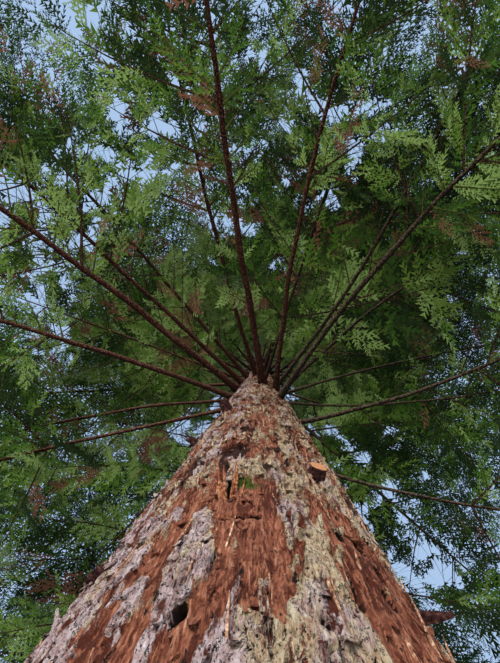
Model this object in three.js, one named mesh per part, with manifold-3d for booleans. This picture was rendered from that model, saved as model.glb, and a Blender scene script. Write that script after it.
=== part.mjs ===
// A coast redwood, rooted in level ground: one straight trunk with a flared foot, long drooping
// lower boughs, shorter rising limbs above them, and a leader at the top.
// Millimetres and degrees, +Z up, origin at the middle of the flat cut at ground level.
import * as THREE from "three";
import { mergeVertices } from "three/addons/utils/BufferGeometryUtils.js";
import Module from "manifold-3d";

const wasm = await Module();
wasm.setup();

// Driving dimensions of the trunk
const TREE_HEIGHT = 26000;
const GAUGE_HEIGHT = 2600;
const GAUGE_RADIUS = 534;
const TAPER_POWER = 1.3;
const TRUNK_TOP = 24900;
const TRUNK_TIP_RADIUS = 16;
const TRUNK_SIDES = 20;
const TRUNK_LEVELS = [0, 160, 400, 800, 1500, 2800, 4600, 6600, 8800, 11500, 14500, 17800, 21200];
const FLARE = 230;
const FLARE_HEIGHT = 480;
const BUTTRESSES = 5;
const BUTTRESS_SHARE = 0.45;

// Limbs: shared habit. A sweep or curl is given per metre.
const METRE = 1000;
const LIMB_CURL = 0.004;
const LIMB_SIDES = 6;
const LIMB_STEPS = 4;
const BARE_SHARE = 0.4;
const LIMB_TAPER = 0.25;
const LIMB_TAPER_CUBIC = 0.62;
const CLEARANCE = 0.3;
const ROOT_DEPTH = 60;

// Boughs of the lower crown, in order round the trunk. Azimuth 0 is +X. Each starts at height on the
// trunk's axis, passes it at offset to the left, and turns left by sweep times distance squared.
const BOUGHS = [
  { azimuth: -109.7, height: 9950, offset: 43, sweep: 0.0108, rise: -0.26, reach: 7000, radius: 40 },
  { azimuth: -102.3, height: 7900, offset: 125, sweep: 0.0057, rise: -0.3, reach: 6600, radius: 47 },
  { azimuth: -89.8, height: 7700, offset: 196, sweep: 0.0323, rise: -0.28, reach: 6400, radius: 33 },
  { azimuth: -63.0, height: 7050, offset: 53, sweep: 0.0412, rise: -0.24, reach: 6200, radius: 33 },
  { azimuth: -54.1, height: 7890, offset: -32, sweep: -0.0294, rise: -0.27, reach: 6600, radius: 29 },
  { azimuth: -51.8, height: 8500, offset: 99, sweep: 0.045, rise: -0.22, reach: 6200, radius: 27 },
  { azimuth: -10.9, height: 6550, offset: -55, sweep: -0.0737, rise: -0.2, reach: 5000, radius: 23 },
  { azimuth: 60, height: 8900, offset: 20, sweep: -0.035, rise: -0.27, reach: 6400, radius: 36 },
  { azimuth: 81, height: 7400, offset: -30, sweep: -0.01, rise: -0.24, reach: 6300, radius: 38 },
  { azimuth: 102, height: 9500, offset: 25, sweep: 0.012, rise: -0.26, reach: 6500, radius: 37 },
  { azimuth: 119, height: 8000, offset: 15, sweep: 0.02, rise: -0.25, reach: 6500, radius: 40 },
  { azimuth: 167.5, height: 8800, offset: 17, sweep: -0.0043, rise: -0.28, reach: 6400, radius: 31 },
  { azimuth: 178.9, height: 9950, offset: -92, sweep: -0.0359, rise: -0.24, reach: 6400, radius: 30 },
  { azimuth: -158.9, height: 8500, offset: -10, sweep: -0.0163, rise: -0.28, reach: 6500, radius: 41 },
  { azimuth: -140.4, height: 8600, offset: -19, sweep: -0.0112, rise: -0.3, reach: 6800, radius: 52 },
  { azimuth: -137.6, height: 9350, offset: -2, sweep: -0.0021, rise: -0.28, reach: 7000, radius: 40 },
  { azimuth: -130.8, height: 10450, offset: -17, sweep: -0.0068, rise: -0.24, reach: 7000, radius: 38 },
];

// Thin low limbs, which carry their foliage on one stem from the trunk
const THIN_LIMBS = [
  { azimuth: 19.6, height: 5750, offset: -57, sweep: -0.0844, rise: -0.14, reach: 3800, radius: 17 },
  { azimuth: 4.1, height: 8750, offset: -65, sweep: -0.0567, rise: -0.16, reach: 5000, radius: 20 },
  { azimuth: -21.7, height: 9200, offset: 28, sweep: 0.0217, rise: -0.12, reach: 5600, radius: 24 },
  { azimuth: 134.8, height: 11350, offset: 35, sweep: 0.0122, rise: -0.18, reach: 6300, radius: 30 },
  { azimuth: -166.6, height: 12000, offset: -35, sweep: -0.0116, rise: -0.14, reach: 5400, radius: 26 },
];

// Limbs of the upper crown climb the trunk in a spiral
const UPPER_COUNT = 19;
const FIRST_OF_TOP = 12;
const UPPER_FROM = 11200;
const UPPER_TO = 24350;
const UPPER_FIRST_AZIMUTH = 38;
const GOLDEN_ANGLE = 137.508;
const UPPER_RISE_LOW = -0.14;
const UPPER_RISE_HIGH = 0.85;
const UPPER_CURL = -0.012;
const UPPER_RISE_POWER = 1.4;
const UPPER_BARE_SHARE = 0.12;
const UPPER_RADIUS_SHARE = 0.0068;
const THINNEST_LIMB = 12;

// Crown outline: its radius at the foot, and how it closes to the top
const CROWN_FOOT = 6000;
const CROWN_RADIUS = 6900;
const CROWN_POWER = 1.3;

// Twigs, the side branches of a limb's leafy part, with a toothed spray on each. lift is how steeply
// they may rise or hang, roll how far their sprays may turn edge up, in degrees.
const LOW_HABIT = { twigs: 6, teeth: 3, spread: 0.6, lift: 0.3, roll: 28, droop: 0.16 };
const THIN_HABIT = { twigs: 5, teeth: 3, spread: 0.6, lift: 0.3, roll: 28, droop: 0.16 };
const UPPER_HABIT = { twigs: 7, teeth: 3, spread: 0.62, lift: 0.85, roll: 50, droop: 0.2 };
const TOP_HABIT = { twigs: 6, teeth: 2, spread: 0.75, lift: 0.9, roll: 50, droop: 0.1 };
const TWIG_TAPER = 0.58;
const TWIG_ANGLE = 58;
const TWIG_ANGLE_SPREAD = 9;
const TWIG_FORWARD = 0.12;
const GOLDEN_SHARE = 0.618;
const TWIG_RADIUS_SHARE = 0.55;
const THINNEST_TWIG = 11;
const TWIG_SAMPLES = 8;
const SHORTEST_TWIG = 0.45;
const SPACE = 820;
const SPACE_FLATNESS = 2.2;
const SPACE_STEP = 400;
const TRUNK_SPACE = 250;

// Sprays of needles: a toothed blade, widest near its foot
const SPRAY_START = 0.24;
const SPRAY_WIDTH = 0.23;
const SPRAY_NARROWING = 0.5;
const SPRAY_THINNING = 0.6;
const NOTCH_SHARE = 0.16;
const NOTCH_STEP = 0.12;
const TIP_STEP = 0.6;
const TOOTH_SAG = 0.16;
const SPRAY_THICKNESS = 0.022;
const THINNEST_SPRAY = 20;
const STEM_RING = 0.3;
const END_SPRAY_FROM = 0.64;
const END_SPRAY_FULLNESS = 1.5;
const SPRAY_GAP = 25;

// Leader, the topmost shoot on the trunk's tip
const LEADER_TWIGS = 5;
const LEADER_TWIG_LENGTH = 520;
const LEADER_RISE = 55;
const LEADER_BARE_SHARE = 0.14;
const LEADER_LEAFY_SHARE = 0.5;
const LEADER_NARROWING = 0.35;
const LEADER_TWIG_RADIUS = 11;

// Broken and cut stubs on the lower trunk
const STUBS = [
  { azimuth: -104, height: 3080, length: 150, radius: 42, tipRadius: 10, lift: 62 },
  { azimuth: -54, height: 3790, length: 110, radius: 42, tipRadius: 38, lift: 10 },
  { azimuth: -35, height: 2860, length: 170, radius: 40, tipRadius: 6, lift: -6 },
  { azimuth: -121, height: 5400, length: 190, radius: 62, tipRadius: 45, lift: 8 },
  { azimuth: -145, height: 4890, length: 120, radius: 36, tipRadius: 6, lift: 30 },
];
const STUB_SIDES = 5;

const BARK = new THREE.MeshStandardMaterial({ color: 0x8a4b35, roughness: 0.95, metalness: 0 });
const BOUGH_BARK = new THREE.MeshStandardMaterial({ color: 0x4a2a22, roughness: 0.9, metalness: 0 });
const NEEDLES = new THREE.MeshStandardMaterial({ color: 0x3f6b2a, roughness: 0.8, metalness: 0 });

const UP = new THREE.Vector3(0, 0, 1);

const radians = THREE.MathUtils.degToRad;

// A small seeded generator of numbers from 0 to 1
function seeded(seed) {
  let state = seed >>> 0;
  return () => {
    state = (state + 0x6d2b79f5) >>> 0;
    let t = state;
    t = Math.imul(t ^ (t >>> 15), t | 1);
    t ^= t + Math.imul(t ^ (t >>> 7), t | 61);
    return ((t ^ (t >>> 14)) >>> 0) / 4294967296;
  };
}

// The trunk's radius at a height, without its flare
function stemRadius(height) {
  const share = (TREE_HEIGHT - height) / (TREE_HEIGHT - GAUGE_HEIGHT);
  return Math.max(TRUNK_TIP_RADIUS, GAUGE_RADIUS * share ** TAPER_POWER);
}

// The trunk's radius with its flared, buttressed foot
function trunkRadius(height, angle) {
  const lobe = 1 + BUTTRESS_SHARE * Math.cos(BUTTRESSES * angle);
  return stemRadius(height) + FLARE * Math.exp(-height / FLARE_HEIGHT) * lobe;
}

// The crown's radius at a height
function crownRadius(height) {
  const share = THREE.MathUtils.clamp((height - CROWN_FOOT) / (TREE_HEIGHT - CROWN_FOOT), 0, 1);
  return CROWN_RADIUS * (1 - share ** CROWN_POWER);
}

// A closed mesh through rings of points. A last ring of one point makes a pointed end.
function loft(rings) {
  const positions = [];
  const faces = [];
  const starts = rings.map((ring) => {
    const start = positions.length / 3;
    ring.forEach((p) => positions.push(p.x, p.y, p.z));
    return start;
  });
  const count = rings[0].length;
  for (let i = 2; i < count; i++) faces.push(0, i, i - 1);
  for (let r = 1; r < rings.length; r++) {
    const low = starts[r - 1];
    const high = starts[r];
    for (let i = 0; i < count; i++) {
      const next = (i + 1) % count;
      if (rings[r].length === 1) {
        faces.push(low + i, low + next, high);
      } else {
        faces.push(low + i, low + next, high + next, low + i, high + next, high + i);
      }
    }
  }
  const last = starts[starts.length - 1];
  for (let i = 2; i < rings[rings.length - 1].length; i++) faces.push(last, last + i - 1, last + i);
  const geometry = new THREE.BufferGeometry();
  geometry.setAttribute("position", new THREE.Float32BufferAttribute(positions, 3));
  geometry.setIndex(faces);
  return geometry;
}

function solidFrom(geometry) {
  const merged = mergeVertices(geometry, 1e-3);
  const vertProperties = merged.attributes.position.array;
  const triVerts = new Uint32Array(merged.index.array);
  const solid = new wasm.Manifold(new wasm.Mesh({ numProp: 3, vertProperties, triVerts }));
  if (solid.volume() > 0) return solid;
  for (let i = 0; i < triVerts.length; i += 3) {
    [triVerts[i + 1], triVerts[i + 2]] = [triVerts[i + 2], triVerts[i + 1]];
  }
  return new wasm.Manifold(new wasm.Mesh({ numProp: 3, vertProperties, triVerts }));
}

function geometryFrom(solid) {
  const mesh = solid.getMesh();
  const geometry = new THREE.BufferGeometry();
  geometry.setAttribute("position", new THREE.Float32BufferAttribute(mesh.vertProperties, 3));
  geometry.setIndex(new THREE.BufferAttribute(mesh.triVerts, 1));
  geometry.computeVertexNormals();
  return geometry;
}

// A ring of points round a centre, square to a direction
function ringAt(centre, direction, radius, sides) {
  const across = new THREE.Vector3().crossVectors(UP, direction).normalize();
  const over = new THREE.Vector3().crossVectors(direction, across);
  return Array.from({ length: sides }, (_, i) => {
    const angle = (2 * Math.PI * i) / sides;
    return centre
      .clone()
      .addScaledVector(across, radius * Math.cos(angle))
      .addScaledVector(over, radius * Math.sin(angle));
  });
}

// The trunk's solid, grown by a margin on every side for cutting its neighbours clear
function trunkSolid(margin) {
  const levels = [...TRUNK_LEVELS, TRUNK_TOP];
  const rings = levels.map((level, index) => {
    const height = index === 0 ? -margin : level;
    return Array.from({ length: TRUNK_SIDES }, (_, i) => {
      const angle = (2 * Math.PI * i) / TRUNK_SIDES;
      const radius = trunkRadius(level, angle) + margin;
      return new THREE.Vector3(radius * Math.cos(angle), radius * Math.sin(angle), height);
    });
  });
  return solidFrom(loft(rings));
}

function stubSolid(stub) {
  const azimuth = radians(stub.azimuth);
  const lift = radians(stub.lift);
  const outward = new THREE.Vector3(Math.cos(azimuth), Math.sin(azimuth), 0);
  const direction = outward.clone().multiplyScalar(Math.cos(lift)).addScaledVector(UP, Math.sin(lift));
  const surface = outward.clone().multiplyScalar(stemRadius(stub.height)).addScaledVector(UP, stub.height);
  const root = surface.clone().addScaledVector(outward, -ROOT_DEPTH);
  const tip = surface.clone().addScaledVector(direction, stub.length);
  const along = tip.clone().sub(root).normalize();
  return solidFrom(
    loft([ringAt(root, along, stub.radius, STUB_SIDES), ringAt(tip, along, stub.tipRadius, STUB_SIDES)]),
  );
}

// A point on a limb's middle line, a level distance out from the trunk's axis
function limbPoint(limb, distance) {
  const angle = radians(limb.azimuth);
  const square = distance ** 2 / METRE;
  const across = limb.offset + limb.sweep * square;
  return new THREE.Vector3(
    distance * Math.cos(angle) - across * Math.sin(angle),
    distance * Math.sin(angle) + across * Math.cos(angle),
    limb.height + limb.rise * distance + limb.curl * square,
  );
}

function limbDirection(limb, distance) {
  return limbPoint(limb, distance + 1).sub(limbPoint(limb, distance - 1)).normalize();
}

function limbRadius(limb, distance) {
  const share = distance / limb.reach;
  return limb.radius * (1 - LIMB_TAPER * share - LIMB_TAPER_CUBIC * share ** 3);
}

function upperLimb(index) {
  const share = index / (UPPER_COUNT - 1);
  const height = THREE.MathUtils.lerp(UPPER_FROM, UPPER_TO, share);
  const reach = crownRadius(height);
  return {
    azimuth: UPPER_FIRST_AZIMUTH + GOLDEN_ANGLE * index,
    height,
    offset: 0,
    sweep: 0,
    rise: THREE.MathUtils.lerp(UPPER_RISE_LOW, UPPER_RISE_HIGH, share ** UPPER_RISE_POWER),
    curl: UPPER_CURL,
    reach,
    radius: Math.max(THINNEST_LIMB, reach * UPPER_RADIUS_SHARE),
  };
}

// Every limb, each with the distance where its leafy part starts
function allLimbs() {
  const number = (i) => String(i + 1).padStart(2, "0");
  const firstSide = (i) => (i % 2 ? 1 : -1);
  const low = BOUGHS.map((row, i) => ({
    ...row,
    curl: LIMB_CURL,
    bough: "bough_" + number(i),
    name: "foliage_" + number(i),
    firstSide: firstSide(i),
    leafFrom: row.reach * BARE_SHARE,
    habit: LOW_HABIT,
  }));
  const thin = THIN_LIMBS.map((row, i) => ({
    ...row,
    curl: LIMB_CURL,
    name: "foliage_thin_" + (i + 1),
    firstSide: firstSide(i),
    leafFrom: row.reach * BARE_SHARE,
    habit: THIN_HABIT,
  }));
  const upper = Array.from({ length: UPPER_COUNT }, (_, i) => {
    const row = upperLimb(i);
    const bare = stemRadius(row.height) + row.reach * UPPER_BARE_SHARE;
    const habit = i < FIRST_OF_TOP ? UPPER_HABIT : TOP_HABIT;
    const name = "foliage_upper_" + number(i);
    return { ...row, name, firstSide: firstSide(i), leafFrom: bare, habit };
  });
  return [...low, ...thin, ...upper];
}

// A point on a twig, from 0 at its foot to 1 at its tip
function twigPoint(twig, share) {
  return twig.root
    .clone()
    .addScaledVector(twig.direction, twig.length * share)
    .addScaledVector(twig.forward, TWIG_FORWARD * twig.length * share ** 2)
    .addScaledVector(UP, -twig.droop * twig.length * share ** 2);
}

function twigDirection(twig, share) {
  return twigPoint(twig, share + 0.01).sub(twigPoint(twig, share - 0.01)).normalize();
}

// Where a limb's twigs start, and which way and how far they would grow
function twigsOf(limb, random) {
  const leafy = limb.reach - limb.leafFrom;
  const { twigs, spread, lift, roll, droop } = limb.habit;
  const phase = random();
  return Array.from({ length: twigs }, (_, i) => {
    const share = (i + 0.2 + 0.3 * random()) / (twigs + 0.35);
    const distance = limb.leafFrom + leafy * share;
    const forward = limbDirection(limb, distance);
    const left = new THREE.Vector3().crossVectors(UP, forward).normalize();
    const over = new THREE.Vector3().crossVectors(forward, left);
    const side = (i % 2 ? -1 : 1) * limb.firstSide;
    const angle = radians(TWIG_ANGLE + TWIG_ANGLE_SPREAD * (2 * random() - 1));
    const turn = 2 * ((phase + GOLDEN_SHARE * i) % 1) - 1;
    const direction = forward
      .clone()
      .multiplyScalar(Math.cos(angle))
      .addScaledVector(left, side * Math.sin(angle))
      .addScaledVector(over, lift * turn)
      .normalize();
    const length = spread * leafy * (1 - TWIG_TAPER * share) * (0.9 + 0.2 * random());
    const root = limbPoint(limb, distance);
    return { root, direction, forward, length, distance, droop, roll: radians(roll * turn * side) };
  });
}

function samplesOf(limb) {
  const steps = Math.ceil(limb.reach / SPACE_STEP);
  return Array.from({ length: steps }, (_, i) => limbPoint(limb, (limb.reach * (i + 1)) / steps));
}

function crowded(point, others) {
  return others.some((p) => {
    const dz = (p.z - point.z) * SPACE_FLATNESS;
    return (p.x - point.x) ** 2 + (p.y - point.y) ** 2 + dz ** 2 < SPACE ** 2;
  });
}

// Gives every limb its twigs. One that comes too near another limb's growth is cut short or left out.
function growTwigs(limbs) {
  const random = seeded(20);
  const taken = limbs.map(samplesOf);
  limbs.forEach((limb, index) => {
    limb.grown = [];
    for (const twig of twigsOf(limb, random)) {
      const others = taken.filter((_, i) => i !== index).flat();
      let free = 0;
      for (let i = 1; i <= TWIG_SAMPLES; i++) {
        const point = twigPoint(twig, i / TWIG_SAMPLES);
        const clearOfTrunk = Math.hypot(point.x, point.y) > stemRadius(point.z) + TRUNK_SPACE;
        if (!clearOfTrunk || crowded(point, others)) break;
        free = i / TWIG_SAMPLES;
      }
      if (free < SHORTEST_TWIG) continue;
      twig.length *= free;
      limb.grown.push(twig);
      for (let i = 1; i <= TWIG_SAMPLES; i++) taken[index].push(twigPoint(twig, i / TWIG_SAMPLES));
    }
  });
}

// Three points of a blade: left edge, ridge, right edge. roll turns it about its direction.
function bladeRing(centre, direction, roll, width, thickness, sag) {
  const across = new THREE.Vector3().crossVectors(UP, direction).normalize();
  across.applyAxisAngle(direction, roll);
  const over = new THREE.Vector3().crossVectors(direction, across);
  const edge = (side) =>
    centre
      .clone()
      .addScaledVector(across, side * width)
      .addScaledVector(over, -thickness / 3 - sag);
  return [edge(1), centre.clone().addScaledVector(over, (2 * thickness) / 3), edge(-1)];
}

// Rings of a toothed spray along a curve, from a share of its length to its tip
function sprayRings(curve, teeth, from, length, thickness) {
  const rings = [];
  const step = (1 - from) / (teeth + TIP_STEP);
  const full = SPRAY_WIDTH * length;
  const ring = (share, width, body, sag) =>
    bladeRing(curve.point(share), curve.direction(share), curve.roll, width, body, sag);
  for (let i = 0; i < teeth; i++) {
    const width = full * (1 - (SPRAY_NARROWING * i) / teeth);
    const body = thickness * (1 - (SPRAY_THINNING * i) / teeth);
    rings.push(ring(from + step * (i + NOTCH_STEP), width * NOTCH_SHARE, body, 0));
    rings.push(ring(from + step * (i + 1), width, body, width * TOOTH_SAG));
  }
  rings.push([curve.point(1)]);
  return rings;
}

function twigSolid(twig, radius, teeth) {
  const neck = bladeRing(twig.root, twigDirection(twig, 0), 0, radius, radius * 2, 0);
  const thickness = Math.max(SPRAY_THICKNESS * twig.length, THINNEST_SPRAY);
  const curve = {
    roll: twig.roll,
    point: (share) => twigPoint(twig, share),
    direction: (share) => twigDirection(twig, share),
  };
  return solidFrom(loft([neck, ...sprayRings(curve, teeth, SPRAY_START, twig.length, thickness)]));
}

// The mass's stem runs on from the bough's tip, or from inside the trunk, and ends in a spray
function stemSolid(limb, start) {
  const leafy = limb.reach - start;
  const at = (share) => start + leafy * share;
  const curve = {
    roll: 0,
    point: (share) => limbPoint(limb, at(share)),
    direction: (share) => limbDirection(limb, at(share)),
  };
  const rings = [0, STEM_RING, END_SPRAY_FROM].map((share) => {
    const radius = limbRadius(limb, at(share));
    return bladeRing(curve.point(share), curve.direction(share), 0, radius, radius * 2, 0);
  });
  const thickness = Math.max(limbRadius(limb, at(END_SPRAY_FROM)) * 2, THINNEST_SPRAY);
  const length = leafy * (1 - END_SPRAY_FROM) * END_SPRAY_FULLNESS;
  rings.push(...sprayRings(curve, limb.habit.teeth, END_SPRAY_FROM, length, thickness));
  return solidFrom(loft(rings));
}

function boughSolid(limb, trunkCutter) {
  const start = stemRadius(limb.height) - ROOT_DEPTH;
  const rings = Array.from({ length: LIMB_STEPS + 1 }, (_, i) => {
    const distance = THREE.MathUtils.lerp(start, limb.leafFrom, i / LIMB_STEPS);
    const centre = limbPoint(limb, distance);
    return ringAt(centre, limbDirection(limb, distance), limbRadius(limb, distance), LIMB_SIDES);
  });
  return solidFrom(loft(rings)).subtract(trunkCutter);
}

// One body: the largest piece of a solid
function largest(solid) {
  return solid.decompose().sort((a, b) => b.volume() - a.volume())[0];
}

function overlapsAny(solid, others) {
  return others.some((other) => solid.minGap(other, SPRAY_GAP) < SPRAY_GAP);
}

function massSolid(limb, trunkCutter, others) {
  const meetsBough = Boolean(limb.bough);
  const start = meetsBough ? limb.leafFrom + CLEARANCE : stemRadius(limb.height) - ROOT_DEPTH;
  const parts = [stemSolid(limb, start)];
  for (const twig of limb.grown) {
    const radius = Math.max(limbRadius(limb, twig.distance) * TWIG_RADIUS_SHARE, THINNEST_TWIG);
    const solid = twigSolid(twig, radius, limb.habit.teeth);
    if (!overlapsAny(solid, others)) parts.push(solid);
  }
  const whole = wasm.Manifold.union(parts);
  return largest(meetsBough ? whole : whole.subtract(trunkCutter));
}

// The leader's rosette of short, steep sprays
function leaderSolid() {
  const foot = TRUNK_TOP + CLEARANCE;
  const height = TREE_HEIGHT - foot;
  const shoot = solidFrom(
    loft([
      ringAt(new THREE.Vector3(0, 0, foot), new THREE.Vector3(1e-6, 0, 1), TRUNK_TIP_RADIUS, LIMB_SIDES),
      [new THREE.Vector3(0, 0, TREE_HEIGHT)],
    ]),
  );
  const lift = radians(LEADER_RISE);
  const sprays = Array.from({ length: LEADER_TWIGS }, (_, i) => {
    const angle = radians(GOLDEN_ANGLE * i);
    const outward = new THREE.Vector3(Math.cos(angle), Math.sin(angle), 0);
    const direction = outward.clone().multiplyScalar(Math.cos(lift)).addScaledVector(UP, Math.sin(lift));
    const share = i / LEADER_TWIGS;
    const root = new THREE.Vector3(0, 0, foot + height * (LEADER_BARE_SHARE + LEADER_LEAFY_SHARE * share));
    const length = LEADER_TWIG_LENGTH * (1 - LEADER_NARROWING * share);
    const twig = { root, direction, forward: outward, length, droop: 0, roll: 0 };
    return twigSolid(twig, LEADER_TWIG_RADIUS, TOP_HABIT.teeth);
  });
  return largest(wasm.Manifold.union([shoot, ...sprays]));
}

function named(name, solid, material) {
  const mesh = new THREE.Mesh(geometryFrom(solid), material);
  mesh.name = name;
  return mesh;
}

function buildTree() {
  const tree = new THREE.Group();
  const trunk = wasm.Manifold.union([trunkSolid(0), ...STUBS.map(stubSolid)]);
  const trunkCutter = trunkSolid(CLEARANCE);
  tree.add(named("trunk", trunk, BARK));

  const limbs = allLimbs();
  growTwigs(limbs);
  const placed = [trunk];
  for (const limb of limbs.filter((item) => item.bough)) {
    const bough = largest(boughSolid(limb, trunkCutter));
    placed.push(bough);
    tree.add(named(limb.bough, bough, BOUGH_BARK));
  }
  const boughs = placed.slice(1);
  const stems = limbs.map((limb) => stemSolid(limb, limb.leafFrom + CLEARANCE));
  const masses = [];
  limbs.forEach((limb, index) => {
    const otherStems = stems.filter((_, i) => i !== index);
    const mass = massSolid(limb, trunkCutter, [...boughs, ...otherStems, ...masses]);
    masses.push(mass);
    tree.add(named(limb.name, mass, NEEDLES));
  });
  tree.add(named("foliage_top", leaderSolid(), NEEDLES));
  return tree;
}

export default buildTree();
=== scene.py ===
"""The looks of the redwood tree: bark with its relief, limbs, twigs and sprays of needles.

Metres and degrees, in the row's frame. The limbs and twigs follow the source's rule, and grow on
from there into fronds and sprays."""

import math
from collections import namedtuple

import bpy
import numpy as np
from mathutils import Matrix, Vector, noise


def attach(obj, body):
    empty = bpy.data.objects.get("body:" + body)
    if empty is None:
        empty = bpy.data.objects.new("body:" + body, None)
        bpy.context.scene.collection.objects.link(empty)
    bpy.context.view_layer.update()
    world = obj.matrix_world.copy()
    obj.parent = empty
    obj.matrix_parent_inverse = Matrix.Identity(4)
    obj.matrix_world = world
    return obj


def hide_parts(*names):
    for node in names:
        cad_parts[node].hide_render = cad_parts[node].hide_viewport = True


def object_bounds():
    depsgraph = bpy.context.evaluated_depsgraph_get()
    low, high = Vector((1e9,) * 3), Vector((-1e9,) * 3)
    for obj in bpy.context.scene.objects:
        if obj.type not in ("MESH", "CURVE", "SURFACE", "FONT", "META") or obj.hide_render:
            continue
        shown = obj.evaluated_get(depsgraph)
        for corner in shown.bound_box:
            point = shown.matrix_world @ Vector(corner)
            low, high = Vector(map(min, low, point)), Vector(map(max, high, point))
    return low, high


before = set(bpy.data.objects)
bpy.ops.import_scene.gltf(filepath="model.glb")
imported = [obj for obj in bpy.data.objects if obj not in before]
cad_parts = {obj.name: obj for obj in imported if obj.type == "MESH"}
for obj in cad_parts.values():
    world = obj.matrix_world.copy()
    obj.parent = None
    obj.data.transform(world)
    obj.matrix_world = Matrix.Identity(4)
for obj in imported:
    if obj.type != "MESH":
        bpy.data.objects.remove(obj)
cad_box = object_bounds()

UP = np.array([0.0, 0.0, 1.0])
rng = np.random.default_rng(11)
noise.seed_set(7)

# Trunk, as in the source
TREE_HEIGHT = 26.0
GAUGE_HEIGHT = 2.6
GAUGE_RADIUS = 0.534
TAPER_POWER = 1.3
TRUNK_TOP = 24.9
TRUNK_TIP_RADIUS = 0.016
FLARE = 0.23
FLARE_HEIGHT = 0.48
BUTTRESSES = 5
BUTTRESS_SHARE = 0.45

# Limbs, as in the source
LIMB_CURL = 0.004
BARE_SHARE = 0.4
LIMB_TAPER = 0.25
LIMB_TAPER_CUBIC = 0.62

# Azimuth, height, offset, sweep, rise, reach, radius
BOUGHS = [
    (-109.7, 9.95, 0.043, 0.0108, -0.26, 7.0, 0.040),
    (-102.3, 7.9, 0.125, 0.0057, -0.3, 6.6, 0.047),
    (-89.8, 7.7, 0.196, 0.0323, -0.28, 6.4, 0.033),
    (-63.0, 7.05, 0.053, 0.0412, -0.24, 6.2, 0.033),
    (-54.1, 7.89, -0.032, -0.0294, -0.27, 6.6, 0.029),
    (-51.8, 8.5, 0.099, 0.045, -0.22, 6.2, 0.027),
    (-10.9, 6.55, -0.055, -0.0737, -0.2, 5.0, 0.023),
    (60.0, 8.9, 0.020, -0.035, -0.27, 6.4, 0.036),
    (81.0, 7.4, -0.030, -0.01, -0.24, 6.3, 0.038),
    (102.0, 9.5, 0.025, 0.012, -0.26, 6.5, 0.037),
    (119.0, 8.0, 0.015, 0.02, -0.25, 6.5, 0.040),
    (167.5, 8.8, 0.017, -0.0043, -0.28, 6.4, 0.031),
    (178.9, 9.95, -0.092, -0.0359, -0.24, 6.4, 0.030),
    (-158.9, 8.5, -0.010, -0.0163, -0.28, 6.5, 0.041),
    (-140.4, 8.6, -0.019, -0.0112, -0.3, 6.8, 0.052),
    (-137.6, 9.35, -0.002, -0.0021, -0.28, 7.0, 0.040),
    (-130.8, 10.45, -0.017, -0.0068, -0.24, 7.0, 0.038),
]
THIN_LIMBS = [
    (19.6, 5.75, -0.057, -0.0844, -0.14, 3.8, 0.017),
    (4.1, 8.75, -0.065, -0.0567, -0.16, 5.0, 0.020),
    (-21.7, 9.2, 0.028, 0.0217, -0.12, 5.6, 0.024),
    (134.8, 11.35, 0.035, 0.0122, -0.18, 6.3, 0.030),
    (-166.6, 12.0, -0.035, -0.0116, -0.14, 5.4, 0.026),
]

# Limbs of the upper crown, as in the source
UPPER_COUNT = 19
FIRST_OF_TOP = 12
UPPER_FROM = 11.2
UPPER_TO = 24.35
UPPER_FIRST_AZIMUTH = 38
GOLDEN_ANGLE = 137.508
WHOLE_TURN = 360
UPPER_RISE_LOW = -0.14
UPPER_RISE_HIGH = 0.85
UPPER_CURL = -0.012
UPPER_RISE_POWER = 1.4
UPPER_BARE_SHARE = 0.12
UPPER_RADIUS_SHARE = 0.0068
THINNEST_LIMB = 0.012
CROWN_FOOT = 6.0
CROWN_RADIUS = 6.9
CROWN_POWER = 1.3

# Twigs, as in the source
LOW_HABIT = {"twigs": 6, "spread": 0.6, "lift": 0.3, "roll": 28, "droop": 0.16}
THIN_HABIT = {"twigs": 5, "spread": 0.6, "lift": 0.3, "roll": 28, "droop": 0.16}
UPPER_HABIT = {"twigs": 7, "spread": 0.62, "lift": 0.85, "roll": 50, "droop": 0.2}
TOP_HABIT = {"twigs": 6, "spread": 0.75, "lift": 0.9, "roll": 50, "droop": 0.1}
TWIG_TAPER = 0.58
TWIG_ANGLE = 58
TWIG_ANGLE_SPREAD = 9
TWIG_FORWARD = 0.12
GOLDEN_SHARE = 0.618
TWIG_RADIUS_SHARE = 0.55
THINNEST_TWIG = 0.011
TWIG_SAMPLES = 8
TWIG_PLACE = 0.2
TWIG_PLACE_SPREAD = 0.3
TWIG_END_ROOM = 0.35
TWIG_LENGTH_LEAST = 0.9
TWIG_LENGTH_SPREAD = 0.2
SHORTEST_TWIG = 0.45
SPACE = 0.82
SPACE_FLATNESS = 2.2
SPACE_STEP = 0.4
TRUNK_SPACE = 0.25

# Leader, as in the source
LEADER_TWIGS = 5
LEADER_TWIG_LENGTH = 0.52
LEADER_TWIG_RADIUS = 0.009
LEADER_RISE = 55
LEADER_BARE_SHARE = 0.14
LEADER_LEAFY_SHARE = 0.5
LEADER_NARROWING = 0.35

# The photograph's view, in its pixels and in metres
PHOTO_WIDTH = 500
PHOTO_HEIGHT = 663
FOCAL_PIXELS = 498.0
ZENITH_X = 261.5
ZENITH_Y = 335.0
CAMERA_TURN = 2.47
CAMERA_PLACE = (0.0, -1.0, 1.5)


# The source's seeded generator of numbers from 0 to 1
def seeded(seed):
    mask = 0xFFFFFFFF
    state = seed & mask

    def step():
        nonlocal state
        state = (state + 0x6D2B79F5) & mask
        t = ((state ^ (state >> 15)) * (state | 1)) & mask
        t ^= (t + (t ^ (t >> 7)) * (t | 61)) & mask
        return ((t ^ (t >> 14)) & mask) / 4294967296

    return step


def lerp(a, b, share):
    return a + (b - a) * share


def unit(v):
    return v / np.linalg.norm(v, axis=-1, keepdims=True)


# Points at angles round the trunk's axis
def around(angle, radius, height):
    return np.stack([np.cos(angle) * radius, np.sin(angle) * radius, height], axis=-1)


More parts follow.
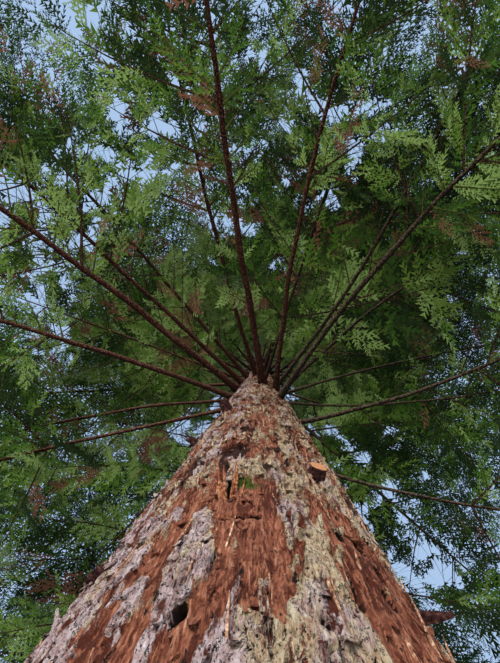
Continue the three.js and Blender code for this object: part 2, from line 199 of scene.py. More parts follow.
def stem_radius(height):
    share = np.maximum(TREE_HEIGHT - height, 0.0) / (TREE_HEIGHT - GAUGE_HEIGHT)
    return np.maximum(TRUNK_TIP_RADIUS, GAUGE_RADIUS * share**TAPER_POWER)


def trunk_radius(height, angle):
    lobe = 1 + BUTTRESS_SHARE * np.cos(BUTTRESSES * angle)
    return stem_radius(height) + FLARE * np.exp(-height / FLARE_HEIGHT) * lobe


def crown_radius(height):
    share = min(max((height - CROWN_FOOT) / (TREE_HEIGHT - CROWN_FOOT), 0), 1)
    return CROWN_RADIUS * (1 - share**CROWN_POWER)


# A limb's middle line: a point at a level distance from the trunk's axis
def limb_point(limb, distance):
    angle = math.radians(limb["azimuth"])
    across = limb["offset"] + limb["sweep"] * distance**2
    height = limb["height"] + limb["rise"] * distance + limb["curl"] * distance**2
    x = distance * math.cos(angle) - across * math.sin(angle)
    y = distance * math.sin(angle) + across * math.cos(angle)
    return np.array([x, y, height])


def limb_direction(limb, distance):
    return unit(limb_point(limb, distance + 0.001) - limb_point(limb, distance - 0.001))


def limb_radius(limb, distance):
    share = distance / limb["reach"]
    return limb["radius"] * (1 - LIMB_TAPER * share - LIMB_TAPER_CUBIC * share**3)


# A row of the source's for a whole index. The whole turn spreads the rows between all round.
def upper_row(index):
    share = index / (UPPER_COUNT - 1)
    azimuth = UPPER_FIRST_AZIMUTH + (GOLDEN_ANGLE + WHOLE_TURN) * index
    height = lerp(UPPER_FROM, UPPER_TO, share)
    reach = crown_radius(height)
    rise = lerp(UPPER_RISE_LOW, UPPER_RISE_HIGH, share**UPPER_RISE_POWER)
    radius = max(THINNEST_LIMB, reach * UPPER_RADIUS_SHARE)
    return (azimuth, height, 0.0, 0.0, rise, reach, radius)


def limb_from(row, curl, index, name, habit):
    keys = ("azimuth", "height", "offset", "sweep", "rise", "reach", "radius")
    limb = dict(zip(keys, row))
    first_side = 1 if index % 2 else -1
    limb.update(curl=curl, name=name, habit=habit, first_side=first_side, bough=None)
    limb["leaf_from"] = limb["reach"] * BARE_SHARE
    return limb


# Limbs between the source's upper ones, by the same rule and a little shorter: more of them near
# the top, and some where the photo's crown is closed: azimuth, height, rise
BETWEEN_REACH = 0.93
CLOSER_FROM = 3
CLOSING_RADIUS = 0.026
CLOSING = [
    (-77, 11.3, -0.17),
    (-67, 13.4, -0.10),
    (-42, 11.0, -0.17),
    (-19, 12.4, -0.13),
    (-161, 11.2, -0.17),
    (14, 11.6, -0.15),
    (133, 10.2, -0.19),
    (-75, 9.3, -0.22),
]


# A limb of the upper crown, leafy almost from the trunk on
def upper_limb(row, index, name, habit, shortening=1.0):
    limb = limb_from(row, UPPER_CURL, index, name, habit)
    limb["reach"] *= shortening
    limb["leaf_from"] = stem_radius(limb["height"]) + limb["reach"] * UPPER_BARE_SHARE
    return limb


def limbs_between():
    steps = [i + 0.5 for i in range(UPPER_COUNT - 1)]
    for quarter in (0.25, 0.75):
        steps += [i + quarter for i in range(CLOSER_FROM, UPPER_COUNT - 1)]
    rows = [upper_row(step) for step in steps]
    for azimuth, height, rise in CLOSING:
        rows.append((azimuth, height, 0.0, 0.0, rise, crown_radius(height), CLOSING_RADIUS))
    limbs = []
    for i, row in enumerate(rows):
        name = f"foliage_between_{i + 1:02d}"
        limbs.append(upper_limb(row, i, name, UPPER_HABIT, BETWEEN_REACH))
    return limbs


def all_limbs():
    limbs = []
    for i, row in enumerate(BOUGHS):
        limb = limb_from(row, LIMB_CURL, i, f"foliage_{i + 1:02d}", LOW_HABIT)
        limb["bough"] = f"bough_{i + 1:02d}"
        limbs.append(limb)
    for i, row in enumerate(THIN_LIMBS):
        limbs.append(limb_from(row, LIMB_CURL, i, f"foliage_thin_{i + 1}", THIN_HABIT))
    for i in range(UPPER_COUNT):
        habit = UPPER_HABIT if i < FIRST_OF_TOP else TOP_HABIT
        limbs.append(upper_limb(upper_row(i), i, f"foliage_upper_{i + 1:02d}", habit))
    return limbs


def twig_point(twig, share):
    bend = TWIG_FORWARD * twig["forward"] - twig["droop"] * UP
    return twig["root"] + twig["length"] * (twig["direction"] * share + bend * share**2)


# Where a limb's twigs start, and which way and how far they would grow
def twigs_of(limb, random):
    leafy = limb["reach"] - limb["leaf_from"]
    habit = limb["habit"]
    phase = random()
    twigs = []
    for i in range(habit["twigs"]):
        share = (i + TWIG_PLACE + TWIG_PLACE_SPREAD * random()) / (habit["twigs"] + TWIG_END_ROOM)
        distance = limb["leaf_from"] + leafy * share
        forward = limb_direction(limb, distance)
        left = unit(np.cross(UP, forward))
        over = np.cross(forward, left)
        side = (-1 if i % 2 else 1) * limb["first_side"]
        angle = math.radians(TWIG_ANGLE + TWIG_ANGLE_SPREAD * (2 * random() - 1))
        turn = 2 * ((phase + GOLDEN_SHARE * i) % 1) - 1
        direction = forward * math.cos(angle) + left * side * math.sin(angle)
        direction = unit(direction + over * habit["lift"] * turn)
        length = habit["spread"] * leafy * (1 - TWIG_TAPER * share)
        length *= TWIG_LENGTH_LEAST + TWIG_LENGTH_SPREAD * random()
        twigs.append(
            {
                "root": limb_point(limb, distance),
                "direction": direction,
                "forward": forward,
                "length": length,
                "distance": distance,
                "droop": habit["droop"],
                "roll": math.radians(habit["roll"] * turn * side),
            }
        )
    return twigs


def crowded(point, others):
    gap = (others - point) * (1, 1, SPACE_FLATNESS)
    return bool((np.einsum("ij,ij->i", gap, gap) < SPACE**2).any())


# Gives every limb its twigs, cut short where they come too near another limb's growth
def grow_twigs(limbs):
    random = seeded(20)
    taken = []
    for limb in limbs:
        steps = math.ceil(limb["reach"] / SPACE_STEP)
        taken.append([limb_point(limb, limb["reach"] * (i + 1) / steps) for i in range(steps)])
    for index, limb in enumerate(limbs):
        limb["grown"] = []
        others = np.array([p for i, points in enumerate(taken) if i != index for p in points])
        for twig in twigs_of(limb, random):
            free = 0
            for i in range(1, TWIG_SAMPLES + 1):
                point = twig_point(twig, i / TWIG_SAMPLES)
                from_axis = math.hypot(point[0], point[1])
                if from_axis <= stem_radius(point[2]) + TRUNK_SPACE or crowded(point, others):
                    break
                free = i / TWIG_SAMPLES
            if free < SHORTEST_TWIG:
                continue
            twig["length"] *= free
            limb["grown"].append(twig)
            taken[index] += [twig_point(twig, i / TWIG_SAMPLES) for i in range(1, TWIG_SAMPLES + 1)]


# Meshes from arrays
def mesh_object(name, points, faces, material, smooth=False, attributes=None):
    points = np.asarray(points, dtype=np.float32).reshape(-1, 3)
    faces = np.asarray(faces, dtype=np.int32)
    corners = faces.shape[1]
    mesh = bpy.data.meshes.new(name)
    mesh.vertices.add(len(points))
    mesh.vertices.foreach_set("co", points.ravel())
    mesh.loops.add(faces.size)
    mesh.loops.foreach_set("vertex_index", faces.ravel())
    mesh.polygons.add(len(faces))
    mesh.polygons.foreach_set("loop_start", np.arange(0, faces.size, corners, dtype=np.int32))
    mesh.polygons.foreach_set("use_smooth", np.full(len(faces), smooth))
    mesh.update(calc_edges=True)
    for key, values in (attributes or {}).items():
        layer = mesh.attributes.new(key, "FLOAT", "POINT")
        layer.data.foreach_set("value", np.asarray(values, dtype=np.float32))
    mesh.materials.append(material)
    piece = bpy.data.objects.new(name, mesh)
    bpy.context.collection.objects.link(piece)
    return piece


# Loose triangles, from their corners
def triangles_object(name, corners, material):
    corners = corners.reshape(-1, 3)
    return mesh_object(name, corners, np.arange(len(corners)).reshape(-1, 3), material)


def dress(piece, slot, *nodes):
    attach(piece, "root")
    if nodes:
        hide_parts(*nodes)


# Quads of a grid whose columns close on themselves
def ring_faces(rows, columns):
    row = np.arange(rows - 1)[:, None] * columns
    column = np.arange(columns)[None, :]
    following = (column + 1) % columns
    quad = [row + column, row + following, row + columns + following, row + columns + column]
    return np.stack(quad, axis=-1).reshape(-1, 4)


# The noise by which a look's places are pushed about
WOBBLE_SCALE = 16
WOBBLE_DETAIL = 4


# A material's node tree, built up by short calls
class Look:
    def __init__(self, name, roughness, specular=0.2):
        self.material = bpy.data.materials.new(name)
        self.material.use_nodes = True
        self.nodes = self.material.node_tree.nodes
        self.links = self.material.node_tree.links
        self.shader = self.nodes["Principled BSDF"]
        self.put(roughness, self.shader.inputs["Roughness"])
        self.put(specular, self.shader.inputs["Specular IOR Level"])

    def put(self, value, socket):
        if isinstance(value, bpy.types.NodeSocket):
            self.links.new(value, socket)
        elif isinstance(value, tuple) and socket.type == "RGBA":
            socket.default_value = (*value, 1)
        else:
            socket.default_value = value

    # A node with its settings, and a value or a link for each input named or numbered
    def node(self, kind, inputs, **settings):
        node = self.nodes.new(f"ShaderNode{kind}")
        for key, value in settings.items():
            setattr(node, key, value)
        for key, value in inputs.items():
            self.put(value, node.inputs[key])
        return node

    def calc(self, operation, *values):
        return self.node("Math", dict(enumerate(values)), operation=operation).outputs[0]

    def attribute(self, name):
        return self.node("Attribute", {}, attribute_name=name).outputs["Fac"]

    # Object coordinates, stretched, and pushed about by a noise when warp isn't 0
    def place(self, stretch=(1, 1, 1), warp=0.0):
        place = self.node("TexCoord", {}).outputs["Object"]
        if warp:
            inputs = {"Vector": place, "Scale": WOBBLE_SCALE, "Detail": WOBBLE_DETAIL}
            push = self.node("TexNoise", inputs).outputs["Color"]
            inputs = {0: push, 1: (warp, warp, warp), 2: place}
            place = self.node("VectorMath", inputs, operation="MULTIPLY_ADD").outputs[0]
        return self.node("Mapping", {"Scale": stretch, "Vector": place}).outputs["Vector"]

    def noise(self, place, scale, detail, roughness=0.6):
        inputs = {"Vector": place, "Scale": scale, "Detail": detail, "Roughness": roughness}
        return self.node("TexNoise", inputs).outputs["Fac"]

    # A noise about 0.5 with its middle range spread out over 0 to 1
    def spread(self, value, half_range):
        inputs = {"Value": value, "From Min": 0.5 - half_range, "From Max": 0.5 + half_range}
        return self.node("MapRange", inputs).outputs["Result"]

    # From 0 below low to 1 above high, or the other way round where low is the larger
    def rise(self, value, low, high):
        inputs = {"Value": value, "From Min": low, "From Max": high}
        return self.node("MapRange", inputs, interpolation_type="SMOOTHSTEP").outputs["Result"]

    # Values added up, each times its share
    def sum(self, *parts):
        total = 0.0
        for value, share in parts:
            total = self.calc("MULTIPLY_ADD", value, share, total)
        return total

    def ramp(self, value, stops):
        node = self.node("ValToRGB", {"Fac": value})
        elements = node.color_ramp.elements
        while len(elements) < len(stops):
            elements.new(0.5)
        for element, (position, colour) in zip(elements, stops):
            element.position = position
            element.color = (*colour, 1)
        return node.outputs["Color"]

    def mix(self, factor, low, high):
        return self.node("Mix", {0: factor, 6: low, 7: high}, data_type="RGBA").outputs[2]

    def finish(self, colour, height, depth):
        bump = self.node("Bump", {"Strength": 1.0, "Distance": depth, "Height": height})
        self.put(colour, self.shader.inputs["Base Color"])
        self.put(bump.outputs["Normal"], self.shader.inputs["Normal"])
        return self.material


def plain_material(name, colour, roughness, specular=0.2):
    look = Look(name, roughness, specular)
    look.put(colour, look.shader.inputs["Base Color"])
    return look.material


# Bark colours, from the darkest grain to the palest
RED_STOPS = [
    (0.14, (0.075, 0.018, 0.010)),
    (0.36, (0.225, 0.060, 0.031)),
    (0.55, (0.410, 0.138, 0.074)),
    (0.74, (0.670, 0.290, 0.168)),
    (0.92, (0.880, 0.550, 0.380)),
]
LILAC_STOPS = [
    (0.10, (0.155, 0.066, 0.052)),
    (0.30, (0.530, 0.330, 0.300)),
    (0.54, (0.800, 0.600, 0.600)),
    (0.82, (0.980, 0.860, 0.885)),
]
LICHEN_STOPS = [
    (0.10, (0.170, 0.072, 0.040)),
    (0.30, (0.500, 0.300, 0.180)),
    (0.54, (0.770, 0.580, 0.370)),
    (0.82, (0.970, 0.860, 0.620)),
]
SHADE_COLOUR = (0.125, 0.028, 0.013)
# The darkest bark colour: painted shade in furrows, cracks, hollows and under the boughs, and dark
# stains
SHADE_AND_STAIN_COLOUR = (0.036, 0.011, 0.008)
# Near black, for painted shade in pits, slits and fine cracks
PIT_SHADE_COLOUR = (0.012, 0.006, 0.005)
MOSS_COLOUR = (0.090, 0.125, 0.022)
BARK_BUMP = 0.016

# Noises in the bark: stretch along the trunk, warp, scale, detail, roughness. Those in the second
# table are spread out, from this far on either side of 0.5.
BARK_NOISES = {
    "fibres": (0.07, 0.014, 150, 4, 0.65),
    "strands": (0.06, 0.020, 46, 6, 0.72),
    "grain": (0.40, 0.0, 90, 6, 0.75),
    "blotches": (0.30, 0.04, 17, 6, 0.7),
    "specks": (0.40, 0.03, 125, 4, 0.75),
    "slits": (0.16, 0.03, 50, 5, 0.7),
    "lines": (0.30, 0.03, 34, 5, 0.72),
}
HALF_RANGES = {"fibres": 0.15, "strands": 0.15, "grain": 0.16, "blotches": 0.15}


def bark_noises(look):
    noises = {}
    for name, (stretch, warp, *settings) in BARK_NOISES.items():
        noises[name] = look.noise(look.place((1, 1, stretch), warp), *settings)
    for name, half_range in HALF_RANGES.items():
        noises[name] = look.spread(noises[name], half_range)
    return noises.values()


# Red fibrous inner bark, and outer bark, lilac grey or lichened in patches
def bark_colours(look, fibres, strands, grain, blotches):
    fibrous = look.sum((fibres, 0.40), (strands, 0.26), (blotches, 0.12), (grain, 0.22))
    shade = look.sum((blotches, 0.55), (strands, 0.25), (fibres, 0.20))
    shaded = look.rise(shade, 0.46, 0.30)
    red = look.mix(shaded, look.ramp(fibrous, RED_STOPS), SHADE_COLOUR)
    flaky = look.sum((grain, 0.48), (fibres, 0.28), (strands, 0.24))
    crust = look.sum((look.attribute("lichen"), 1.0), (look.attribute("inner"), -0.34))
    patch = look.sum((crust, 1.0), (blotches, 0.52), (strands, 0.36), (grain, 0.22))
    lichened = look.rise(patch, 0.66, 1.02)
    outer = look.mix(lichened, look.ramp(flaky, LILAC_STOPS), look.ramp(flaky, LICHEN_STOPS))
    return red, outer


# Pits: specks, slits, sunken places, and fine lines in the outer bark that still stands, painted
# near black as painted shade in these small holes and cracks
def bark_pits(look, crumbs, slits, lines, grain, standing, sunk):
    pits = look.calc("MAXIMUM", look.rise(crumbs, 0.61, 0.65), look.rise(slits, 0.615, 0.65))
    pits = look.calc("MAXIMUM", pits, look.rise(sunk, 1.00, 1.28))
    from_line = look.calc("ABSOLUTE", look.calc("SUBTRACT", lines, 0.5))
    line = look.rise(from_line, 0.020, 0.006)
    line = look.calc("MULTIPLY", line, look.rise(grain, 0.42, 0.60))
    return look.calc("MAXIMUM", pits, look.calc("MULTIPLY", line, standing))


# Bark: outer plates over inner bark, with cracks and specks darkened by painted shade, and dark
# stains
def trunk_bark():
    look = Look("bark", 0.95)
    fibres, strands, grain, blotches, specks, slits, lines = bark_noises(look)
    red, outer = bark_colours(look, fibres, strands, grain, blotches)
    plate = look.attribute("plate")
    ragged = look.sum((plate, 1.0), (strands, 0.44), (grain, 0.26), (blotches, 0.30))
    standing = look.rise(ragged, 0.90, 1.03)
    colour = look.mix(standing, red, outer)
    # Painted shade and dark stains, with some noise: where this is high the bark turns to the
    # darkest colour
    sunk = look.sum((look.attribute("dark"), 1.0), (strands, 0.35), (grain, 0.25))
    colour = look.mix(look.rise(sunk, 0.74, 0.95), colour, SHADE_AND_STAIN_COLOUR)
    colour = look.mix(look.attribute("moss"), colour, MOSS_COLOUR)
    crumbs = look.sum((specks, 1.0), (standing, 0.025), (blotches, 0.02))
    pits = bark_pits(look, crumbs, slits, lines, grain, standing, sunk)
    # Painted shade: the pits turn near black
    colour = look.mix(pits, colour, PIT_SHADE_COLOUR)
    height = look.sum((fibres, 0.4), (strands, 0.5), (grain, 0.45), (standing, 0.3), (pits, -0.7))
    return look.finish(colour, height, BARK_BUMP)


# The bark of limbs, and broken wood: dark, middle and light colours
WOODS = {
    "bough_bark": ((0.004, 0.001, 0.001), (0.034, 0.011, 0.008), (0.180, 0.098, 0.070)),
    # A darker copy of the limbs' bark, for painted shade on one side
    "shaded_bark": ((0.003, 0.002, 0.001), (0.018, 0.011, 0.008), (0.12, 0.085, 0.062)),
    "twig_bark": ((0.008, 0.004, 0.003), (0.022, 0.011, 0.008), (0.11, 0.075, 0.05)),
    "green_bark": ((0.020, 0.020, 0.007), (0.055, 0.060, 0.016), (0.12, 0.12, 0.035)),
    "dead_wood": ((0.010, 0.005, 0.005), (0.042, 0.016, 0.016), (0.15, 0.066, 0.054)),
    "loose_fibre": ((0.12, 0.046, 0.028), (0.46, 0.240, 0.145), (0.84, 0.62, 0.44)),
    "torn_wood": ((0.060, 0.018, 0.010), (0.30, 0.105, 0.050), (0.66, 0.31, 0.16)),
}
WOOD_TONES = (0.36, 0.52, 0.68)
WOOD_FLAKES = (65, 5, 0.6)
WOOD_BUMP = 0.008
# Painted light: how much paler the lit side of a limb is painted
LIT_SIDE_SHARE = 0.20


# One of these woods. Limbs have an attribute of painted light that makes the side facing the lit
# way paler, and elsewhere it counts as 0.
def wood(name):
    look = Look(name, 0.9, 0.04)
    flakes = look.noise(look.place(), *WOOD_FLAKES)
    tone = look.sum((flakes, 1.0), (look.attribute("painted_lit_side"), LIT_SIDE_SHARE))
    colour = look.ramp(tone, list(zip(WOOD_TONES, WOODS[name])))
    return look.finish(colour, flakes, WOOD_BUMP)


# Sawn end of a pruned limb: growth rings round the attribute "ring", which is 0 at the middle
SAWN_STOPS = [
    (0.1, (0.27, 0.09, 0.035)),
    (0.6, (0.47, 0.20, 0.09)),
    (0.95, (0.60, 0.32, 0.16)),
]
SAWN_TURNS = 46
SAWN_WOBBLE = 6
SAWN_BUMP = 0.004


def sawn_wood():
    look = Look("sawn_wood", 0.8)
    wobble = look.noise(look.place(), 30, 4)
    shift = look.calc("MULTIPLY", wobble, SAWN_WOBBLE)
    turn = look.calc("MULTIPLY_ADD", look.attribute("ring"), SAWN_TURNS, shift)
    wave = look.calc("MULTIPLY_ADD", look.calc("SINE", turn), 0.5, 0.5)
    return look.finish(look.ramp(wave, SAWN_STOPS), wobble, SAWN_BUMP)


# Trunk with the bark's relief. Sizes are the widths and lengths of what each pattern makes.
RIDGE_SIZE = (0.10, 0.10, 0.95)
COVER_SIZE = (0.070, 0.070, 0.34)
FLAKE_SIZE = (0.034, 0.034, 0.13)
FIBRE_SIZE = (0.013, 0.013, 0.24)
LUMP_SIZE = (0.36, 0.36, 0.9)
RAGGED_SIZE = (0.022, 0.022, 0.045)
STAIN_SIZE = (0.055, 0.055, 0.22)
WARP_SIZE = (0.09, 0.09, 0.40)
WARP = (0.022, 0.022, 0.09)
PLATE_STEP = 0.011
FLAKE_STEP = 0.0035
FLAKE_LEAN = 0.009
FURROW_DEPTH = 0.020
FIBRE_DEPTH = 0.009
LUMP_DEPTH = 0.014
CRACK_DEPTH = 0.004
CELL_SEED = 31.7

# Lower and upper ends of soft edges, in each noise's or height's own measure
PLATE_EDGE = (-0.02, 0.10)
FRAYED_EDGE = (-0.20, 0.20)
INNER_EDGE = (0.05, 0.50)
FURROW_EDGE = (0.015, 0.085)
CRACK_EDGE = (0.02, 0.16)
STAIN_EDGE = (0.12, 0.42)
STAINED_FROM = (2.9, 3.4)
UPPER_PAINTED_SHADE_FROM = (6.0, 8.5)
MIXED_FROM = (2.8, 3.2)

# How dark each becomes (painted shade in furrows and cracks and higher up under the boughs, and
# real stains), and the noise that mixes plate and bare bark higher up
FURROW_PAINTED_SHADE = 0.62
CRACK_PAINTED_SHADE = 0.3
STAIN_DARK = 0.66
UPPER_PAINTED_SHADE = 0.45
MIXED_SIZE = (0.085, 0.085, 0.32)
MIXED_SHARE = 0.8

# Outer bark that still stands, low on the side in the photo: azimuth, height, half width,
# half height. Round these plates the red inner bark is bare.
STANDING = [
    (-104.5, 2.52, 0.046, 0.34),
    (-124.0, 2.60, 0.052, 0.55),
    (-116.5, 3.20, 0.050, 0.40),
    (-88.0, 2.20, 0.040, 0.15),
    (-87.3, 2.42, 0.014, 0.08),
    (-96.0, 2.14, 0.020, 0.12),
    (-75.5, 2.44, 0.066, 0.38),
    (-79.0, 2.18, 0.072, 0.24),
    (-78.5, 2.95, 0.040, 0.22),
    (-112.6, 2.33, 0.022, 0.16),
    (-106.3, 2.28, 0.024, 0.065),
    (-92.0, 2.24, 0.020, 0.080),
    (-64.5, 2.95, 0.022, 0.22),
]
BARE_MIDDLE = -86
BARE_HALF = 36
BARE_FADE = 12
BARE_FROM = (2.0, 2.15)
BARE_TO = (2.75, 3.25)
COVER_MIDDLE = 0.12
COVER_GAIN = 1.5

# Cracks and hollows: azimuth, height, half width, half height, depth
HOLLOWS = [
    (-94.8, 2.80, 0.058, 0.020, 0.050),
    (-102.4, 2.33, 0.013, 0.035, 0.045),
    (-76.0, 2.32, 0.014, 0.024, 0.040),
    (-67.0, 2.50, 0.012, 0.080, 0.045),
    (-64.3, 2.83, 0.020, 0.036, 0.050),
    (-57.0, 2.84, 0.020, 0.060, 0.055),
    (-53.0, 2.72, 0.018, 0.065, 0.055),
    (-55.8, 2.58, 0.015, 0.060, 0.050),
    (-48.0, 2.97, 0.016, 0.090, 0.050),
    (-101.0, 3.72, 0.072, 0.190, 0.027),
    (-98.5, 3.04, 0.016, 0.130, 0.045),
    (-62.5, 3.42, 0.036, 0.080, 0.025),
]
# Painted shade in the hollows: darkness for each metre of depth, and the most it reaches
HOLLOW_PAINTED_SHADE = 26
HOLLOW_PAINTED_SHADE_MOST = 1.3


def smooth_step(low, high, value):
    t = np.clip((value - low) / (high - low), 0, 1)
    return t * t * (3 - 2 * t)


def noise_field(points, size, octaves=1):
    scaled = points / np.array(size)
    return np.array([noise.fractal(Vector(p), 0.8, 2.1, octaves) for p in scaled])


def warped(points):
    scaled = points / np.array(WARP_SIZE)
    push = np.array([noise.turbulence_vector(Vector(p), 3, False) for p in scaled])
    return points + push * np.array(WARP)


# Flaky cells: how far points are from their cell's edge, a number for each cell, and how far below
# its middle they are
def bark_cells(points, size):
    rows = []
    for point in points / np.array(size):
        distances, centres = noise.voronoi(Vector(point))
        level = noise.cell(centres[0] * CELL_SEED)
        rows.append((distances[1] - distances[0], level, centres[0].z - point[2]))
    return np.array(rows).T


def degrees_away(angle, middle):
    return np.abs((np.degrees(angle) - middle + 180) % 360 - 180)


# How far points are across and up from a place on the bark, in its half width and half height
def from_place(angle, height, radius, azimuth, middle, half_width, half_height):
    across = np.radians(degrees_away(angle, azimuth)) * radius / half_width
    return across, (height - middle) / half_height


# How far the outer bark is still there: above 0 it stands, below 0 the inner bark is bare
def bark_cover(points, angle, height, radius):
    cover = COVER_MIDDLE + COVER_GAIN * noise_field(points, COVER_SIZE, 3)
    near = 1 - smooth_step(BARE_HALF, BARE_HALF + BARE_FADE, degrees_away(angle, BARE_MIDDLE))
    near = near * smooth_step(*BARE_FROM, height) * (1 - smooth_step(*BARE_TO, height))
    inside = np.full(len(angle), -1.0)
    for place in STANDING:
        across, up = from_place(angle, height, radius, *place)
        inside = np.maximum(inside, 1 - across**2 - up**2)
    return lerp(cover, 0.75 * cover + 0.8 * inside - 0.1, near)


# Presses the hollows into the bark and darkens them with painted shade, the more the deeper they
# are
def press_hollows(out, dark, points, angle, height, radius):
    ragged = noise_field(points, RAGGED_SIZE, 2)
    for *place, depth in HOLLOWS:
        across, up = from_place(angle, height, radius, *place)
        away = (across**4 + up**4) ** 0.25 + 0.45 * ragged
        out = out * (0.3 + 0.7 * smooth_step(1.0, 2.0, away))
        out = out - depth * (1 - smooth_step(0.7, 1.0, away))
        darkest = min(HOLLOW_PAINTED_SHADE_MOST, HOLLOW_PAINTED_SHADE * depth)
        dark = np.maximum(dark, darkest * (1 - smooth_step(0.8, 1.1, away)))
    return out, dark


# How dark the bark is: painted shade in furrows and cracks, real dark stains, and painted shade
# higher up, where the boughs shade the trunk
def bark_dark(furrow, crack, plate, moved, height):
    dark = np.maximum(FURROW_PAINTED_SHADE * furrow * (0.35 + 0.65 * plate), CRACK_PAINTED_SHADE * crack * plate)
    stained = smooth_step(*STAIN_EDGE, noise_field(moved, STAIN_SIZE, 2))
    dark = np.maximum(dark, STAIN_DARK * (stained * smooth_step(*STAINED_FROM, height)))
    return np.maximum(dark, UPPER_PAINTED_SHADE * smooth_step(*UPPER_PAINTED_SHADE_FROM, height))


# Higher up plate and bare bark are mixed in small patches
def mottled(plate, points, height):
    mixed = lerp(plate, 0.79 + 0.7 * noise_field(points, MIXED_SIZE, 3), MIXED_SHARE)
    return lerp(plate, mixed, smooth_step(*MIXED_FROM, height)) * 0.62


# The bark at points of the bare stem: how far it stands out, and its shares of outer bark, of the
# inside of a plate, and of dark
def bark_relief(angle, height, radius):
    points = around(angle, radius, height)
    moved = warped(points)
    cover = bark_cover(moved, angle, height, radius)
    plate = smooth_step(*PLATE_EDGE, cover)
    furrow = 1 - smooth_step(*FURROW_EDGE, np.abs(noise_field(moved, RIDGE_SIZE, 3)))
    edge, level, below = bark_cells(moved, FLAKE_SIZE)
    crack = 1 - smooth_step(*CRACK_EDGE, edge)
    flakes = FLAKE_STEP * level + FLAKE_LEAN * below
    out = PLATE_STEP * (plate - 0.5) + (0.4 + 0.6 * plate) * flakes
    out = out - FURROW_DEPTH * furrow * (0.3 + 0.7 * plate) - CRACK_DEPTH * crack * plate
    out = out + FIBRE_DEPTH * (1 - 0.4 * plate) * noise_field(moved, FIBRE_SIZE, 3)
    out = out + LUMP_DEPTH * noise_field(points, LUMP_SIZE)
    dark = bark_dark(furrow, crack, plate, moved, height)
    out, dark = press_hollows(out, dark, points, angle, height, radius)
    frayed = mottled(smooth_step(*FRAYED_EDGE, cover), points, height)
    return out, {"plate": frayed, "inner": smooth_step(*INNER_EDGE, cover), "dark": dark}


# The bark's coloured places, on the sides where the photo shows them
LICHEN_SIDE = -30
LICHEN_EDGE = (0.25, 0.75)
LICHEN_WIDER_FROM = (2.8, 3.3)
LICHEN_SIZE = (0.25, 0.25, 0.35)
MOSS_PLACE = (-94.5, 3.12)
MOSS_EDGE = (0.02, 0.06)
METRES_A_DEGREE = 0.0095


def bark_places(angle, height):
    patches = noise_field(around(angle, 1, height), LICHEN_SIZE, 3)
    facing = np.cos(angle - math.radians(LICHEN_SIDE))
    side = smooth_step(*LICHEN_EDGE, facing + 0.2 * smooth_step(*LICHEN_WIDER_FROM, height))
    lichen = 0.30 + 0.42 * side + 0.40 * patches
    across = degrees_away(angle, MOSS_PLACE[0]) * METRES_A_DEGREE
    moss_away = np.hypot(across, height - MOSS_PLACE[1])
    moss = 1 - smooth_step(*MOSS_EDGE, moss_away + 0.02 * patches)
    return {"lichen": lichen, "moss": moss}


# Pieces of the trunk, each reaching a little into the last: name, bottom, top, rows, and columns on
# the seen side and on the other. Below the first come the rows of the foot.
FOOT_TOP = 2.05
FOOT_ROWS = 44
LOWER_TOP = 3.25
SEEN_TOP = 4.6
MIDDLE_TOP = 9.0
TRUNK_PIECES = [
    ("trunk_lower", FOOT_TOP, LOWER_TOP, 190, 290, 100),
    ("trunk_seen", LOWER_TOP, SEEN_TOP, 110, 290, 100),
    ("trunk_middle", SEEN_TOP - 0.01, MIDDLE_TOP, 150, 220, 100),
    ("trunk_upper", MIDDLE_TOP - 0.02, TRUNK_TOP, 300, 70, 70),
]
SEEN_SIDE = (-165, -15)
LEAST_RELIEF = 0.05
FULL_RELIEF_RADIUS = 0.30


# Columns of the trunk's grid, closer together on the side that the photo shows
def column_angles(seen, unseen):
    first, last = SEEN_SIDE
    near = np.linspace(first, last, seen, endpoint=False)
    far = np.linspace(last, first + 360, unseen, endpoint=False)
    return np.radians(np.concatenate([near, far]))


def trunk_piece(name, angles, heights, material):
    angle, height = (values.ravel() for values in np.meshgrid(angles, heights))
    base = stem_radius(height)
    out, shares = bark_relief(angle, height, np.maximum(base, LEAST_RELIEF))
    fade = np.clip(base / FULL_RELIEF_RADIUS, LEAST_RELIEF, 1)
    points = around(angle, trunk_radius(height, angle) + out * fade, height)
    attributes = {**shares, **bark_places(angle, height)}
    faces = ring_faces(len(heights), len(angles))
    dress(mesh_object(name, points, faces, material, True, attributes), "bark", "trunk")


def make_trunk(material):
    foot = np.linspace(0, FOOT_TOP, FOOT_ROWS, endpoint=False)
    for name, bottom, top, rows, seen, unseen in TRUNK_PIECES:
        heights = np.linspace(bottom, top, rows)
        if bottom == FOOT_TOP:
            heights = np.concatenate([foot, heights])
        trunk_piece(name, column_angles(seen, unseen), heights, material)


# The share of the bark's darkness, its painted shade and dark stains, that loose pieces on it have
DARK_OF_LOOSE = 0.5


# Points and attributes of things that stand on the bark, sunk into it to some depth
def on_bark(angle, height, depth):
    out, shares = bark_relief(angle, height, stem_radius(height))
    points = around(angle, trunk_radius(height, angle) + out - depth, height)
    dark = shares["dark"] * DARK_OF_LOOSE
    return points, {**shares, "dark": dark, **bark_places(angle, height)}


def outward(angle):
    return around(angle, 1, np.zeros_like(angle))


# Shreds and loose fibres that peel off the bark: wedges with rings of four corners. Ranges of
# width, length and how far the tip stands off, and how far they lean aside.
SHREDS = {
    "count": 5200,
    "width": (0.006, 0.030),
    "length": (0.025, 0.10),
    "stand": (0.001, 0.013),
    "lean": 0.25,
}
FIBRES = {
    "count": 1700,
    "width": (0.002, 0.006),
    "length": (0.08, 0.24),
    "stand": (0.001, 0.010),
    "lean": 0.09,
}
SHRED_FOOT = 0.05
SHRED_TOP = 9.0
SHRED_CROWDING = 1.4
SHRED_SUNK = 0.006
SHRED_RISE = 0.009
SHRED_TIPS_UP = 0.25
RING_CORNERS = [(-1, -1), (1, -1), (1, 1), (-1, 1)]

